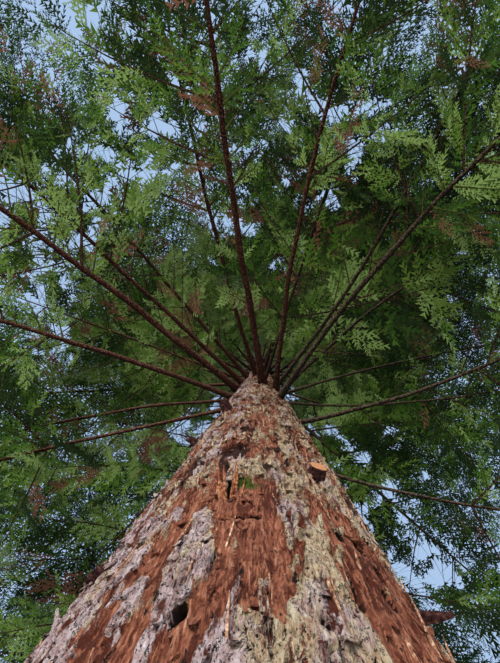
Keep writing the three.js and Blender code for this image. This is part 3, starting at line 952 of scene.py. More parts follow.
# Rings of a wedge: share of its length, half thickness, share of its width
SHRED_RINGS = [
    (0.0, 0.0045, 1.0),
    (0.5, 0.003, 0.9),
    (1.0, 0.0006, 0.4),
]


# Faces of many tubes that are alike
def tube_faces(count, rows, sides):
    offsets = (np.arange(count) * rows * sides)[:, None, None]
    return (ring_faces(rows, sides)[None] + offsets).reshape(-1, 4)


def make_shreds(name, kind, material):
    count = kind["count"]
    each = (count, 1, 1)
    angle = rng.uniform(-math.pi, math.pi, count)
    height = kind["length"][1] + SHRED_FOOT + SHRED_TOP * rng.random(count) ** SHRED_CROWDING
    root, attributes = on_bark(angle, height, SHRED_SUNK)
    normal = outward(angle)[:, None]
    side = np.cross(UP, normal)
    up = np.where(rng.random(count) < SHRED_TIPS_UP, 1.0, -1.0)[:, None, None]
    along = UP * up + side * kind["lean"] * rng.standard_normal(each)
    width, length, stand = (rng.uniform(*kind[key], each) for key in ("width", "length", "stand"))
    corner = np.array(RING_CORNERS)[None, :, :, None]
    rings = []
    for share, thickness, narrowing in SHRED_RINGS:
        off = stand * share**2 + SHRED_RISE * share
        middle = root[:, None] + along * length * share + normal * off
        spread = side * width / 2 * narrowing * corner[:, :, 0]
        rings.append(middle + spread + normal * thickness * corner[:, :, 1])
    rows, sides = len(SHRED_RINGS), len(RING_CORNERS)
    points = np.stack(rings, axis=1)
    faces = tube_faces(count, rows, sides)
    shares = {key: np.repeat(values, rows * sides) for key, values in attributes.items()}
    dress(mesh_object(name, points, faces, material, False, shares), "bark", "trunk")


# Stubs of lost limbs: azimuth and height of the root, azimuth and lift of the way it points,
# length, radius, radius at the end, number of splinters and their length
STUBS = {
    "stub_splintered": (-98.6, 2.95, -102, 74, 0.02, 0.024, 0.026, 13, 0.29),
    "stub_pruned": (-60, 3.52, -90, -12, 0.047, 0.037, 0.035, 0, 0),
    "stub_pointed": (-42, 2.72, 4, -4, 0.095, 0.036, 0.007, 5, 0.06),
    "stub_block": (-121, 5.40, -121, 12, 0.10, 0.042, 0.036, 6, 0.06),
    "stub_frayed": (-147, 4.80, -152, 24, 0.075, 0.030, 0.024, 11, 0.13),
    "stub_flake": (-134, 2.72, -150, 12, 0.030, 0.030, 0.024, 8, 0.05),
}
STUB_SIDES = 26
STUB_ROWS = 18
STUB_ROOT = 0.05
STUB_COLLAR = 0.55
STUB_COLLAR_SHARE = 0.3
STUB_ROUGH = 0.22
STUB_ROUGH_SIZE = (0.016, 0.016, 0.03)
END_RINGS = (0.8, 0.55, 0.3, 0.02)
SPLINTER_LENGTHS = (0.35, 1.0)
SPLINTER_SPREAD = (-0.5, 2.2)
SPLINTER_RADII = (0.16, 0.42)
SPLINTER_SUNK = 0.04
SPLINTER_BEND = 0.25
SPLINTER_TIP = 0.0008


def direction_of(azimuth, lift):
    a = math.radians(azimuth)
    e = math.radians(lift)
    return np.array([math.cos(e) * math.cos(a), math.cos(e) * math.sin(a), math.sin(e)])


# Unit circles across many directions
def circles(across, over, sides):
    turn = np.linspace(0, 2 * np.pi, sides, endpoint=False)[None, :, None]
    return np.cos(turn) * across[:, None] + np.sin(turn) * over[:, None]


# Rings round a middle line, and the same rings made larger or smaller about it
def tube(points, radii, sides):
    tangents = unit(np.gradient(points, axis=0))
    across = unit(np.cross(UP, tangents))
    rings = circles(across, np.cross(tangents, across), sides)
    return points[:, None] + rings * radii[:, None, None]


def swollen(points, rings, size):
    return points[:, None] + (rings - points[:, None]) * size


# A stub's body, with rings that turn in at its end. The attribute "ring" is 0 at the end's middle.
def stub_body(start, end, radius, end_radius):
    shares = np.linspace(0, 1, STUB_ROWS)
    points = start + (end - start) * shares[:, None]
    collar = 1 + STUB_COLLAR * np.exp(-shares / STUB_COLLAR_SHARE)
    rings = tube(points, lerp(radius, end_radius, shares) * collar, STUB_SIDES)
    rough = noise_field(rings.reshape(-1, 3), STUB_ROUGH_SIZE, 2)
    rings = swollen(points, rings, 1 + STUB_ROUGH * rough.reshape(STUB_ROWS, STUB_SIDES, 1))
    inner = [rings[-1:] * size + points[-1] * (1 - size) for size in END_RINGS]
    ring = np.concatenate([np.ones(STUB_ROWS), END_RINGS[:-1], [0.0]])
    return np.concatenate([rings, *inner]), np.repeat(ring, STUB_SIDES)


# Splinters that stand out of a broken end, longer in the middle
def splinter_piece(name, end, direction, radius, count, length, material):
    across = unit(np.cross(UP, direction))
    over = np.cross(direction, across)
    turn = rng.uniform(0, 2 * np.pi, count)[:, None]
    out = np.cos(turn) * across + np.sin(turn) * over
    offset = out * radius * np.sqrt(rng.random((count, 1)))
    run = direction * length * rng.uniform(*SPLINTER_LENGTHS, (count, 1))
    run = run + offset * rng.uniform(*SPLINTER_SPREAD, (count, 1))
    root = end + offset * 0.9 - direction * SPLINTER_SUNK
    bend = SPLINTER_BEND * radius * rng.standard_normal((count, 3))
    radii = rng.uniform(*SPLINTER_RADII, count) * radius
    shoots = Shoots(root, run, bend, np.zeros(count), radii)
    points, faces = shoot_tubes(shoots, 5, 6, SPLINTER_TIP)
    return mesh_object(name, points, faces, material)


# Gives a stub's end, past its last full ring, the look of sawn wood
def saw_off(piece, sawn):
    mesh = piece.data
    mesh.materials.append(sawn)
    is_end = np.arange(len(mesh.polygons)) >= (STUB_ROWS - 1) * STUB_SIDES
    mesh.polygons.foreach_set("material_index", is_end.astype(np.int32))


def make_stub(name, row, bark, torn, sawn):
    azimuth, height, pointing, lift, length, radius, end_radius, count, splinter_length = row
    direction = direction_of(pointing, lift)
    out = direction_of(azimuth, 0)
    sunk = radius * direction[2] ** 2
    surface = out * (float(stem_radius(height)) - sunk) + UP * height
    start = surface - out * (radius + STUB_ROOT) - direction * STUB_ROOT
    end = surface + direction * length
    points, ring = stub_body(start, end, radius, end_radius)
    faces = ring_faces(len(points), STUB_SIDES)
    body = mesh_object(name, points, faces, bark, True, {"ring": ring})
    dress(body, "bark", "trunk")
    if count:
        splinters = (end, direction, end_radius, count, splinter_length, torn)
        dress(splinter_piece(f"{name}_splinters", *splinters), "bark", "trunk")
    else:
        saw_off(body, sawn)


def make_stubs():
    bark = wood("dead_wood")
    torn = wood("torn_wood")
    sawn = sawn_wood()
    for name, row in STUBS.items():
        make_stub(name, row, bark, torn if name == "stub_splintered" else bark, sawn)


# A tuft of moss: short blades that stand off the bark
MOSS_BLADES = 700
MOSS_SIZE = (2.8, 0.026)
MOSS_CROWDING = 0.6
MOSS_SUNK = 0.003
MOSS_LENGTHS = (0.006, 0.018)
MOSS_HALF_WIDTH = 0.0022
MOSS_STOPS = [(0.35, (0.035, 0.052, 0.010)), (0.6, (0.160, 0.190, 0.030))]


def moss_material():
    look = Look("moss", 0.9)
    tint = look.noise(look.place(), 120, 2)
    look.put(look.ramp(tint, MOSS_STOPS), look.shader.inputs["Base Color"])
    return look.material


def make_moss():
    turn, rise = MOSS_SIZE
    scatter = rng.standard_normal(MOSS_BLADES)
    angle = np.radians(MOSS_PLACE[0] + turn * scatter * MOSS_CROWDING)
    height = MOSS_PLACE[1] + rise * rng.standard_normal(MOSS_BLADES) * MOSS_CROWDING
    root, _ = on_bark(angle, height, MOSS_SUNK)
    length = rng.uniform(*MOSS_LENGTHS, (MOSS_BLADES, 1))
    away = outward(angle) + 0.8 * rng.standard_normal((MOSS_BLADES, 3)) + UP * 0.3
    half = unit(np.cross(away, rng.standard_normal((MOSS_BLADES, 3)))) * MOSS_HALF_WIDTH
    corners = np.stack([root - half, root + half, root + unit(away) * length], axis=1)
    dress(triangles_object("moss", corners, moss_material()), "needles")


# Limbs: tubes with flaky relief, knots, and a collar at the trunk
LIMB_SIDES = 14
LIMB_ROWS = 64
LIMB_ROOT = 0.08
LIMB_CROWDING = 1.15
LIMB_REACH_SHARE = 0.97
LIMB_SLIMNESS = 0.84
LIMB_LEAST_RADIUS = 0.004
LIMB_SWAY = 0.022
LIMB_SWAY_LENGTH = 0.7
COLLAR = 0.55
COLLAR_LENGTH = 0.22
ROUGH = 0.12
ROUGH_SIZE = (0.045,) * 3
KNOT = 0.35
KNOT_FROM = 0.15
KNOT_SIZE = (0.3,) * 3
# The way that the painted-light side of each limb faces
LIT_SIDE_FROM = np.array([-0.30, -0.94, 0.15])

# The side on which the limbs' bark is darker and less red: a darker copy of the bark, painted shade
SHADED_SIDE = -15
SHADED_HALF = 62


# Points along a limb's middle line, and the limb's radius at each
def limb_line(limb):
    start = float(stem_radius(limb["height"])) - LIMB_ROOT
    shares = np.linspace(0, 1, LIMB_ROWS) ** LIMB_CROWDING
    distances = lerp(start, limb["reach"] * LIMB_REACH_SHARE, shares)
    points = np.array([limb_point(limb, d) for d in distances])
    sway = np.array([noise.noise_vector(Vector(p / LIMB_SWAY_LENGTH)) for p in points])
    points = points + sway * LIMB_SWAY * np.minimum(distances - start, 1.0)[:, None]
    radii = np.array([limb_radius(limb, d) for d in distances]) * LIMB_SLIMNESS
    collar = 1 + COLLAR * np.exp(-(distances - start - LIMB_ROOT) / COLLAR_LENGTH)
    return points, np.maximum(radii, LIMB_LEAST_RADIUS) * collar


def limb_piece(limb, material):
    points, radii = limb_line(limb)
    rings = tube(points, radii, LIMB_SIDES)
    # Painted light: the corners of each ring that face the lit way are painted paler
    painted_lit_side = (unit(rings - points[:, None]) @ LIT_SIDE_FROM).ravel()
    flat = rings.reshape(-1, 3)
    rough = noise_field(flat, ROUGH_SIZE, 3) * ROUGH
    knots = np.maximum(noise_field(flat + 5, KNOT_SIZE) - KNOT_FROM, 0) * KNOT
    rings = swollen(points, rings, (1 + rough + knots).reshape(LIMB_ROWS, LIMB_SIDES, 1))
    faces = ring_faces(LIMB_ROWS, LIMB_SIDES)
    name = (limb["bough"] or limb["name"].replace("foliage", "limb")) + "_bark"
    replaced = [limb["bough"]] if limb["bough"] else []
    piece = mesh_object(name, rings, faces, material, True, {"painted_lit_side": painted_lit_side})
    dress(piece, "bough_bark", *replaced)


def make_limbs(limbs):
    bark = wood("bough_bark")
    shaded_bark = wood("shaded_bark")
    for limb in limbs:
        # Limbs on that side take the darker copy: painted shade
        shaded = degrees_away(math.radians(limb["azimuth"]), SHADED_SIDE) < SHADED_HALF
        limb_piece(limb, shaded_bark if shaded else bark)


# Shoots: many curves at once. Each is root + run * share + bend * share squared.
SHOOT_PARTS = ("root", "run", "bend", "roll", "radius")


class Shoots:
    def __init__(self, *parts):
        for name, values in zip(SHOOT_PARTS, parts):
            setattr(self, name, np.asarray(values, dtype=float))

    def point(self, share):
        return self.root + self.run * share + self.bend * share**2

    def tangent(self, share):
        return unit(self.run + 2 * self.bend * share)

    def length(self):
        return np.linalg.norm(self.run, axis=1)

    def pick(self, keep):
        return Shoots(*[getattr(self, part)[keep] for part in SHOOT_PARTS])


def joined(groups):
    return Shoots(*[np.concatenate([getattr(g, part) for g in groups]) for part in SHOOT_PARTS])


# Directions across and over a blade that is rolled about its tangent
def blade_frame(tangent, roll):
    across = unit(np.cross(UP, tangent))
    over = np.cross(tangent, across)
    c = np.cos(roll)[:, None]
    s = np.sin(roll)[:, None]
    return across * c + over * s, over * c - across * s


# How side shoots grow: their spacing, the most on one parent, their sizes along it, their length as
# a share of its own, their angle to it, how far they droop, and the shortest length
Habit = namedtuple("Habit", "spacing most sizes share angle droop shortest")
SHOOT_SCATTER = 0.4
ANGLE_SPREAD = 8
ANGLE_NARROWING = 14
SHOOT_LIFT = 0.45
LENGTH_LEAST = 0.72
LENGTH_SPREAD = 0.5
CURVE = 0.10
CURVE_SPREAD = 0.16
ROLL_KEPT = 0.7
ROLL_SPREAD = 0.5
SHOOT_TAPER = 0.7
SHOOT_RADIUS_SHARE = 0.45
THINNEST_SHOOT = 0.0016


# Side shoots on alternate sides, spaced evenly along each parent, with the parent's number for each
def side_shoots(parents, habit):
    counts = np.clip(np.round(parents.length() / habit.spacing), 3, habit.most).astype(int)
    parent = np.repeat(np.arange(len(counts)), counts)
    order = np.concatenate([np.arange(c) for c in counts])
    count = len(order)
    share = (order + 0.5 + SHOOT_SCATTER * (rng.random(count) - 0.5)) / counts[parent]
    own = parents.pick(parent)
    tangent = own.tangent(share[:, None])
    across, over = blade_frame(tangent, own.roll)
    side = np.where(order % 2 == 0, 1.0, -1.0)[:, None]
    lean = habit.angle + ANGLE_SPREAD * rng.standard_normal(count) - ANGLE_NARROWING * share
    lean = np.radians(lean)[:, None]
    lift = SHOOT_LIFT * (rng.random(count) - 0.5)[:, None]
    direction = unit(tangent * np.cos(lean) + across * side * np.sin(lean) + over * lift)
    length = own.length() * habit.share * np.interp(share, *habit.sizes)
    length = np.maximum(length * (LENGTH_LEAST + LENGTH_SPREAD * rng.random(count)), habit.shortest)
    run = direction * length[:, None]
    curve = (CURVE + CURVE_SPREAD * rng.standard_normal(count))[:, None]
    bend = tangent * length[:, None] * curve - UP * (length * habit.droop)[:, None]
    roll = own.roll * ROLL_KEPT + ROLL_SPREAD * (rng.random(count) - 0.5)
    radius = np.maximum(own.radius * (1 - SHOOT_TAPER * share) * SHOOT_RADIUS_SHARE, THINNEST_SHOOT)
    return Shoots(own.point(share[:, None]), run, bend, roll, radius), parent


# Tapering tubes along many shoots at once
def shoot_tubes(shoots, sides, rows, tip_radius=0.0012):
    count = len(shoots.roll)
    grid = np.empty((count, rows, sides, 3), dtype=np.float32)
    for r in range(rows):
        share = r / (rows - 1)
        across, over = blade_frame(shoots.tangent(share), np.zeros(count))
        radius = lerp(shoots.radius, tip_radius, share)[:, None, None]
        grid[:, r] = shoots.point(share)[:, None] + circles(across, over, sides) * radius
    return grid, tube_faces(count, rows, sides)


# A spray of needles lying along x, one long, in two rows on a thin spine
NEEDLE_PAIRS = 4
NEEDLE_LENGTH = 0.33
NEEDLE_WIDTH = 0.20
NEEDLE_ANGLE = 52
NEEDLE_ANGLE_SPREAD = 8
NEEDLE_NARROWING = 16
NEEDLE_SIZES = ((0, 0.3, 1), (0.75, 1.0, 0.62))
NEEDLE_STAGGER = 0.03
NEEDLE_DROP = 0.03
SPINE_HALF_WIDTH = 0.008


def spray_shape(seed):
    random = np.random.default_rng(seed)
    half = NEEDLE_WIDTH / 2
    triangles = [[(0, SPINE_HALF_WIDTH, 0), (0, -SPINE_HALF_WIDTH, 0), (1, 0, 0)]]
    for i in range(NEEDLE_PAIRS):
        place = (i + 0.35) / NEEDLE_PAIRS
        size = np.interp(place, *NEEDLE_SIZES)
        for side in (1, -1):
            turn = NEEDLE_ANGLE_SPREAD * random.standard_normal() - NEEDLE_NARROWING * place
            angle = math.radians(NEEDLE_ANGLE + turn)
            reach = NEEDLE_LENGTH * size * (0.9 + 0.2 * random.random())
            start = place + NEEDLE_STAGGER * side
            across = side * reach * math.sin(angle)
            tip = (start + reach * math.cos(angle), across, -NEEDLE_DROP * random.random())
            triangles.append([(start - half, 0, 0), (start + half, 0, 0), tip])
    return np.array(triangles).reshape(-1, 3)


SPRAY_SHAPES = np.stack([spray_shape(seed) for seed in range(6)])


# The triangles' corners of many sprays, each one shoot
def spray_corners(shoots):
    shape = SPRAY_SHAPES[rng.integers(0, len(SPRAY_SHAPES), len(shoots.roll))]
    x, y, z = (shape[:, :, i : i + 1] for i in range(3))
    size = shoots.length()[:, None, None]
    tangent = unit(shoots.run)
    across, over = blade_frame(tangent, shoots.roll)
    corners = shoots.root[:, None] + size * x * tangent[:, None]
    corners = corners + size * y * across[:, None] + size * z * over[:, None]
    return corners + shoots.bend[:, None] * x**2


# Needles: plain colours from dark to bright, and one for dead sprays
NEEDLE_COLOURS = {
    "needles_deep": (0.008, 0.019, 0.004),
    "needles_dark": (0.020, 0.048, 0.007),
    "needles_mid": (0.046, 0.099, 0.012),
    "needles_olive": (0.083, 0.137, 0.024),
    "needles_fresh": (0.152, 0.224, 0.068),
    "needles_rust": (0.130, 0.053, 0.034),
}
NEEDLE_SHEEN = 0.08
MOST_IN_PIECE = 22000

# Shades at which one green gives way to the next, and what makes sprays lighter or darker (random
# patches, and painted light and shade) or dead
GREEN_STEPS = (-0.06, 0.18, 0.40, 0.64)
DEAD = 5
PATCH_SIZE = (0.6, 0.6, 0.6)
PATCH_SHARE = 1.05
FROND_SHARE = 0.32
SPRAY_SHARE = 0.20
# Painted light and shade: lighter greens on one side, higher up (where young growth is also
# lighter) and nearer the trunk, darker ones on the other side and further out
PAINTED_LIGHT_SIDE = -156
PAINTED_LIGHT_SIDE_SHARE = 0.38
PAINTED_LIGHT_TOP_SHARE = 0.36
PAINTED_LIGHT_WITHIN = 3.4
PAINTED_LIGHT_INNER_SHARE = 0.20
DEAD_SIDE = -130
DEAD_SIDE_SHARE = 0.85
DEAD_SHARE = 0.066
DEAD_MIX = 0.85


# More twigs between the source's, shorter and more up and down, to fill each limb's space
FILL_LENGTH = 0.74
FILL_RISE = 0.55
FILL_RISE_MIDDLE = 0.55
SPILL = 0.25


def within_crown(twig, reach):
    tip = twig_point(twig, 1)
    return math.hypot(tip[0], tip[1]) < min(reach, crown_radius(tip[2])) + SPILL


def add_between(limbs):
    random = seeded(47)
    between = limbs_between()
    for limb in between:
        twigs = twigs_of(limb, random)
        limb["grown"] = [twig for twig in twigs if within_crown(twig, limb["reach"])]
    return limbs + between


def fill_in(limbs):
    random = seeded(33)
    for limb in limbs:
        for twig in twigs_of({**limb, "first_side": -limb["first_side"]}, random):
            twig["length"] *= FILL_LENGTH
            rise = UP * FILL_RISE * (random() - FILL_RISE_MIDDLE)
            twig["direction"] = unit(twig["direction"] + rise)
            if within_crown(twig, limb["reach"]):
                limb["grown"].append(twig)


# The run of a limb between two distances: root, run, bend and radius
def limb_as_shoot(limb, start, end):
    a, b, c = (limb_point(limb, lerp(start, end, share)) for share in (0, 0.5, 1))
    bend = 2 * (a + c - 2 * b)
    run = c - a - bend
    return a, run, bend, limb_radius(limb, start)


def shoots_from(rows):
    roots, runs, bends, radii = zip(*rows)
    return Shoots(roots, runs, bends, np.zeros(len(rows)), radii)


def twig_shoots(limbs):
    roots, runs, bends, rolls, radii = [], [], [], [], []
    for limb in limbs:
        for twig in limb["grown"]:
            bend = TWIG_FORWARD * twig["forward"] - twig["droop"] * UP
            roots.append(twig["root"])
            runs.append(twig["direction"] * twig["length"])
            bends.append(bend * twig["length"])
            rolls.append(twig["roll"])
            radius = limb_radius(limb, twig["distance"]) * TWIG_RADIUS_SHARE
            radii.append(max(radius, THINNEST_TWIG))
    return Shoots(roots, runs, bends, rolls, radii)


def stem_shoots(limbs):
    return shoots_from([limb_as_shoot(limb, limb["leaf_from"], limb["reach"]) for limb in limbs])


# How fronds, bare twigs and sprays grow. Sizes are places from 0 to 1, and the size at each.
SPRAY_SIZES = ((0, 0.3, 1), (0.75, 1.0, 0.55))
FRONDS = Habit(0.125, 18, ((0, 0.12, 0.38, 1), (0.35, 0.7, 1.0, 0.42)), 0.34, 56, 0.22, 0.26)
STEM_FRONDS = Habit(0.14, 30, ((0, 0.25, 0.6, 1), (0.16, 0.26, 0.26, 0.16)), 0.62, 58, 0.25, 0.30)
BARE_TWIGS = Habit(0.30, 12, ((0, 1), (0.5, 1.0)), 0.46, 50, 0.05, 0.3)
SMALL_TWIGS = Habit(0.16, 7, SPRAY_SIZES, 0.3, 50, 0.05, 0.06)
BARE_TWIGS_FROM = 0.9
BARE_TWIGS_TO_SHARE = 1.5
BARE_RADIUS = 0.0080

# Sprays are smaller and closer together on the fronds that the photo shows from nearby: the fronds'
# furthest distance from the camera, the sprays' habit, and the length of the one at each tip
SPRAY_RANGES = [
    (6.3, Habit(0.022, 30, SPRAY_SIZES, 0.30, 52, 0.2, 0.045), 0.08),
    (11.5, Habit(0.034, 22, SPRAY_SIZES, 0.43, 52, 0.2, 0.07), 0.12),
    (math.inf, Habit(0.058, 12, SPRAY_SIZES, 0.57, 52, 0.2, 0.11), 0.17),
]


# Thin bare twigs on the boughs' inner part, and smaller ones on them
def bare_twigs(limbs):
    boughs = [limb for limb in limbs if limb["bough"]]
    rows = []
    for limb in boughs:
        end = limb["leaf_from"] * BARE_TWIGS_TO_SHARE
        rows.append(limb_as_shoot(limb, BARE_TWIGS_FROM, end))
    twigs, _ = side_shoots(shoots_from(rows), BARE_TWIGS)
    twigs.radius = np.full(len(twigs.radius), BARE_RADIUS)
    small, _ = side_shoots(twigs, SMALL_TWIGS)
    return joined([twigs, small])


def leader_shoots():
    height = TREE_HEIGHT - TRUNK_TOP
    lift = math.radians(LEADER_RISE)
    roots = [(0, 0, TRUNK_TOP)]
    runs = [(0.001, 0.001, height)]
    for i in range(LEADER_TWIGS):
        share = i / LEADER_TWIGS
        angle = math.radians(GOLDEN_ANGLE * i)
        length = LEADER_TWIG_LENGTH * (1 - LEADER_NARROWING * share)
        level = math.cos(lift) * length
        roots.append((0, 0, TRUNK_TOP + height * (LEADER_BARE_SHARE + LEADER_LEAFY_SHARE * share)))
        runs.append((math.cos(angle) * level, math.sin(angle) * level, math.sin(lift) * length))
    count = len(roots)
    radius = [TRUNK_TIP_RADIUS] + [LEADER_TWIG_RADIUS] * LEADER_TWIGS
    return Shoots(roots, runs, np.zeros((count, 3)), np.zeros(count), radius)


# A number for each spray's colour: patches of light and dark growth; painted light and shade,
# lighter on one side and darker on the other, lighter higher up, where young growth is lighter too,
# and nearer the trunk, and darker further out; and dead fronds, more of them nearer the trunk and
# on one side
def deal_colours(fronds, parent):
    middle = fronds.point(0.5)
    count = len(middle)
    shade = PATCH_SHARE * noise_field(middle, PATCH_SIZE, 2)
    shade = shade + FROND_SHARE * rng.standard_normal(count)
    azimuth = np.arctan2(middle[:, 1], middle[:, 0])
    high = smooth_step(9, 14, middle[:, 2])
    from_axis = np.hypot(middle[:, 0], middle[:, 1])
    # Painted light and shade by side, height and distance from the trunk
    sided = np.cos(azimuth - math.radians(PAINTED_LIGHT_SIDE)) * (1 - 0.6 * high)
    sided = sided * smooth_step(1.0, 3.5, from_axis)
    shade = shade + PAINTED_LIGHT_SIDE_SHARE * sided + PAINTED_LIGHT_TOP_SHARE * high
    shade = shade + PAINTED_LIGHT_INNER_SHARE * np.maximum(PAINTED_LIGHT_WITHIN - from_axis, -1.8)
    value = shade[parent] + SPRAY_SHARE * rng.standard_normal(len(parent))
    colour = np.searchsorted(GREEN_STEPS, value)
    sided = 1 + DEAD_SIDE_SHARE * np.cos(azimuth - math.radians(DEAD_SIDE))
    dead = rng.random(count) < DEAD_SHARE * (1.1 - 0.08 * from_axis) * sided
    colour[dead[parent] & (rng.random(len(parent)) < DEAD_MIX)] = DEAD
    return colour


# Openings towards the sky that the photo shows from its place: azimuth, half width, nearest and
# furthest pixels from the zenith, and the share that is open
OPENINGS = [
    (-143, 26, 190, 280, 0.52),
    (-170, 18, 190, 280, 0.34),
    (-168, 18, 280, 440, 0.94),
    (-108, 17, 185, 420, 0.19),
    (-110, 18, 80, 150, 0.32),
    (-74, 14, 130, 270, 0.40),
    (-78, 12, 45, 100, 0.50),
    (124, 9, 70, 138, 0.80),
    (48, 18, 130, 230, 0.20),
    (54, 6, 105, 340, 0.52),
    (62, 7, 50, 125, 0.52),
]
OPENING_SIZE = (24,) * 3
OPENING_DAPPLE = 0.12
PHOTO_MARGIN = 20


# Where points show in the photo, in pixels from the zenith
def photo_place(points):
    scale = FOCAL_PIXELS / np.maximum(points[:, 2] - CAMERA_PLACE[2], 1.0)
    return points[:, 0] * scale, (points[:, 1] - CAMERA_PLACE[1]) * scale


def in_opening(points):
    across, along = photo_place(points)
    away = np.hypot(across, along)
    flat = np.stack([across, along, np.zeros(len(points))], axis=1)
    patches = noise_field(flat, OPENING_SIZE, 2) + OPENING_DAPPLE * rng.standard_normal(len(flat))
    is_open = np.zeros(len(points), dtype=bool)
    for azimuth, half_width, nearest, furthest, share in OPENINGS:
        here = degrees_away(np.arctan2(along, across), azimuth) < half_width
        here &= (away > nearest) & (away < furthest)
        is_open |= here & (patches > np.quantile(patches[here], 1 - share))
    return is_open


# How far points are from the camera, or endless where the photo doesn't show them
def seen_from(points):
    across, along = photo_place(points)
    seen = np.abs(across) < PHOTO_WIDTH / 2 + PHOTO_MARGIN
    seen &= np.abs(along) < PHOTO_HEIGHT / 2 + PHOTO_MARGIN
    return np.where(seen, np.linalg.norm(points - CAMERA_PLACE, axis=1), math.inf)


# Which sprays end inside the CAD model's box, with a little room round it
BOX_ROOM = 0.15


def within_box(sprays):
    low, high = (np.array(corner) for corner in cad_box)
    ends = sprays.point(1)
    return np.all((ends > low - BOX_ROOM) & (ends < high + BOX_ROOM), axis=1)


# Sprays along fronds and one at each tip, with the number of each spray's frond
def sprays_on(fronds, habit, tip):
    sprays, parent = side_shoots(fronds, habit)
    ahead = fronds.tangent(0.95) * tip
    tips = Shoots(fronds.point(0.9), ahead, np.zeros_like(ahead), fronds.roll, fronds.radius)
    return joined([sprays, tips]), np.concatenate([parent, np.arange(len(fronds.roll))])


# Twigs, fronds from the nearest to the furthest, sprays, and the number of each spray's frond
def grow_foliage(limbs):
    twigs = joined([twig_shoots(limbs), leader_shoots()])
    fronds, _ = side_shoots(twigs, FRONDS)
    stem_fronds, _ = side_shoots(stem_shoots(limbs), STEM_FRONDS)
    fronds = joined([fronds, stem_fronds])
    away = seen_from(fronds.point(0.5))
    fronds = fronds.pick(np.argsort(away, kind="stable"))
    away = np.sort(away)
    sprays = []
    parents = []
    first = 0
    for furthest, habit, tip in SPRAY_RANGES:
        past = int(np.searchsorted(away, furthest, side="right"))
        some_sprays, some_parents = sprays_on(fronds.pick(slice(first, past)), habit, tip)
        sprays.append(some_sprays)
        parents.append(some_parents + first)
        first = past
    sprays = joined(sprays)
    kept = within_box(sprays) & ~in_opening(sprays.point(0.5))
    return twigs, fronds, sprays.pick(kept), np.concatenate(parents)[kept]


def make_needles(sprays, colour, masses):
    for index, (name, base) in enumerate(NEEDLE_COLOURS.items()):
        material = plain_material(name, base, 0.7, NEEDLE_SHEEN)
        chosen = np.flatnonzero(colour == index)
        for part in range(0, len(chosen), MOST_IN_PIECE):
            corners = spray_corners(sprays.pick(chosen[part : part + MOST_IN_PIECE]))
            number = part // MOST_IN_PIECE + 1
            dress(triangles_object(f"{name}_{number}", corners, material), "needles", *masses)


def make_foliage(limbs):
    twigs, fronds, sprays, parent = grow_foliage(limbs)
    masses = [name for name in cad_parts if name.startswith("foliage")]
    make_needles(sprays, deal_colours(fronds, parent), masses)
    twig_bark = wood("twig_bark")
    for name, shoots, sides, rows, bark in (
        ("twigs", twigs, 5, 6, twig_bark),
        ("fronds", fronds, 3, 3, wood("green_bark")),
        ("bare_twigs", bare_twigs(limbs), 4, 4, twig_bark),
    ):
        piece = mesh_object(f"{name}_wood", *shoot_tubes(shoots, sides, rows), bark, True)
        dress(piece, "bough_bark", *masses)


# Floor, sky, lamps and the photograph's camera
FLOOR_RADIUS = 150
FLOOR_SIDES = 96
FLOOR_COLOUR = (0.46, 0.45, 0.43)
SKY_COLOUR = (0.41, 0.575, 0.83)

# Sun lamps: azimuth, elevation, strength, colour, softness
LAMPS = {
    "key": (-120, 48, 2.6, (1.0, 0.95, 0.86), 12),
    "fill": (40, 35, 1.0, (0.85, 0.92, 1.0), 40),
    "low": (-108, 8, 3.4, (1.0, 0.94, 0.88), 20),
}


def make_stage():
    turn = np.linspace(0, 2 * np.pi, FLOOR_SIDES, endpoint=False)
    rim = around(turn, FLOOR_RADIUS, np.zeros(FLOOR_SIDES))
    material = plain_material("floor", FLOOR_COLOUR, 0.9)
    floor = mesh_object("floor", rim, [np.arange(FLOOR_SIDES)], material)
    floor.location.z = -0.002
    world = bpy.data.worlds.new("sky")
    world.use_nodes = True
    background = world.node_tree.nodes["Background"]
    background.inputs["Color"].default_value = (*SKY_COLOUR, 1)
    background.inputs["Strength"].default_value = 1.0
    bpy.context.scene.world = world
    bpy.context.scene.view_settings.view_transform = "Standard"


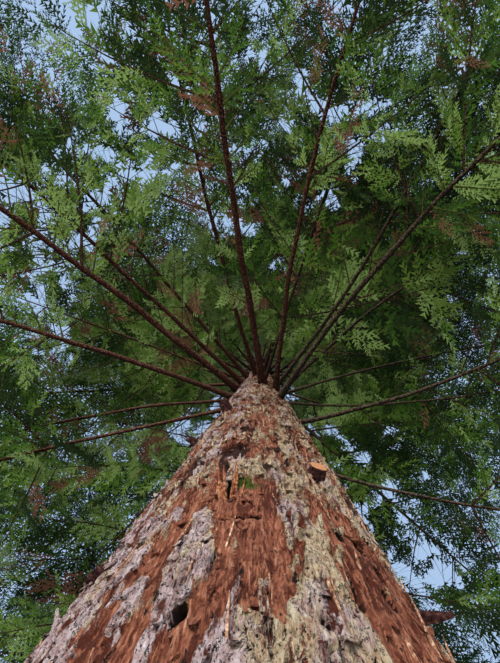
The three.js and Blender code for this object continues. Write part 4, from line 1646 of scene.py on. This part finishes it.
def put_lamp(name, kind, strength, colour):
    light = bpy.data.lights.new(name, kind)
    light.energy = strength
    light.color = colour
    lamp = bpy.data.objects.new(name, light)
    bpy.context.collection.objects.link(lamp)
    return lamp


# A wide soft lamp on the ground that lights the crown from below
def ground_lamp():
    lamp = put_lamp("ground_light", "AREA", 1500, (0.97, 1.0, 0.78))
    lamp.data.shape = "DISK"
    lamp.data.size = 26
    lamp.data.spread = math.radians(80)
    lamp.location = (0, 0, 0.03)
    lamp.rotation_euler = (math.pi, 0, 0)


def sun_lamps():
    for name, (azimuth, elevation, strength, colour, softness) in LAMPS.items():
        lamp = put_lamp(name, "SUN", strength, colour)
        lamp.data.angle = math.radians(softness)
        towards = Vector(direction_of(azimuth, elevation))
        lamp.rotation_mode = "QUATERNION"
        lamp.rotation_quaternion = towards.to_track_quat("Z", "Y")


def make_camera():
    across = ZENITH_X - PHOTO_WIDTH / 2
    along = ZENITH_Y - PHOTO_HEIGHT / 2
    zenith = Vector((across, along, FOCAL_PIXELS)).normalized()
    tilt = Vector((0, 0, 1)).rotation_difference(zenith).to_matrix()
    view = tilt @ Matrix.Rotation(math.radians(CAMERA_TURN), 3, "Z")
    data = bpy.data.cameras.new("camera")
    data.sensor_fit = "AUTO"
    data.sensor_width = 36
    data.lens = FOCAL_PIXELS / PHOTO_HEIGHT * data.sensor_width
    data.clip_end = 200
    camera = bpy.data.objects.new("camera", data)
    rows = Matrix((view[0], -view[1], -view[2]))
    camera.matrix_world = Matrix.Translation(CAMERA_PLACE) @ rows.transposed().to_4x4()
    bpy.context.collection.objects.link(camera)
    bpy.context.scene.camera = camera


def make_tree():
    bark = trunk_bark()
    make_trunk(bark)
    make_shreds("bark_shreds", SHREDS, bark)
    make_shreds("bark_fibres", FIBRES, wood("loose_fibre"))
    make_stubs()
    make_moss()
    limbs = all_limbs()
    grow_twigs(limbs)
    limbs = add_between(limbs)
    fill_in(limbs)
    make_limbs(limbs)
    make_foliage(limbs)


make_stage()
make_camera()
sun_lamps()
ground_lamp()
make_tree()
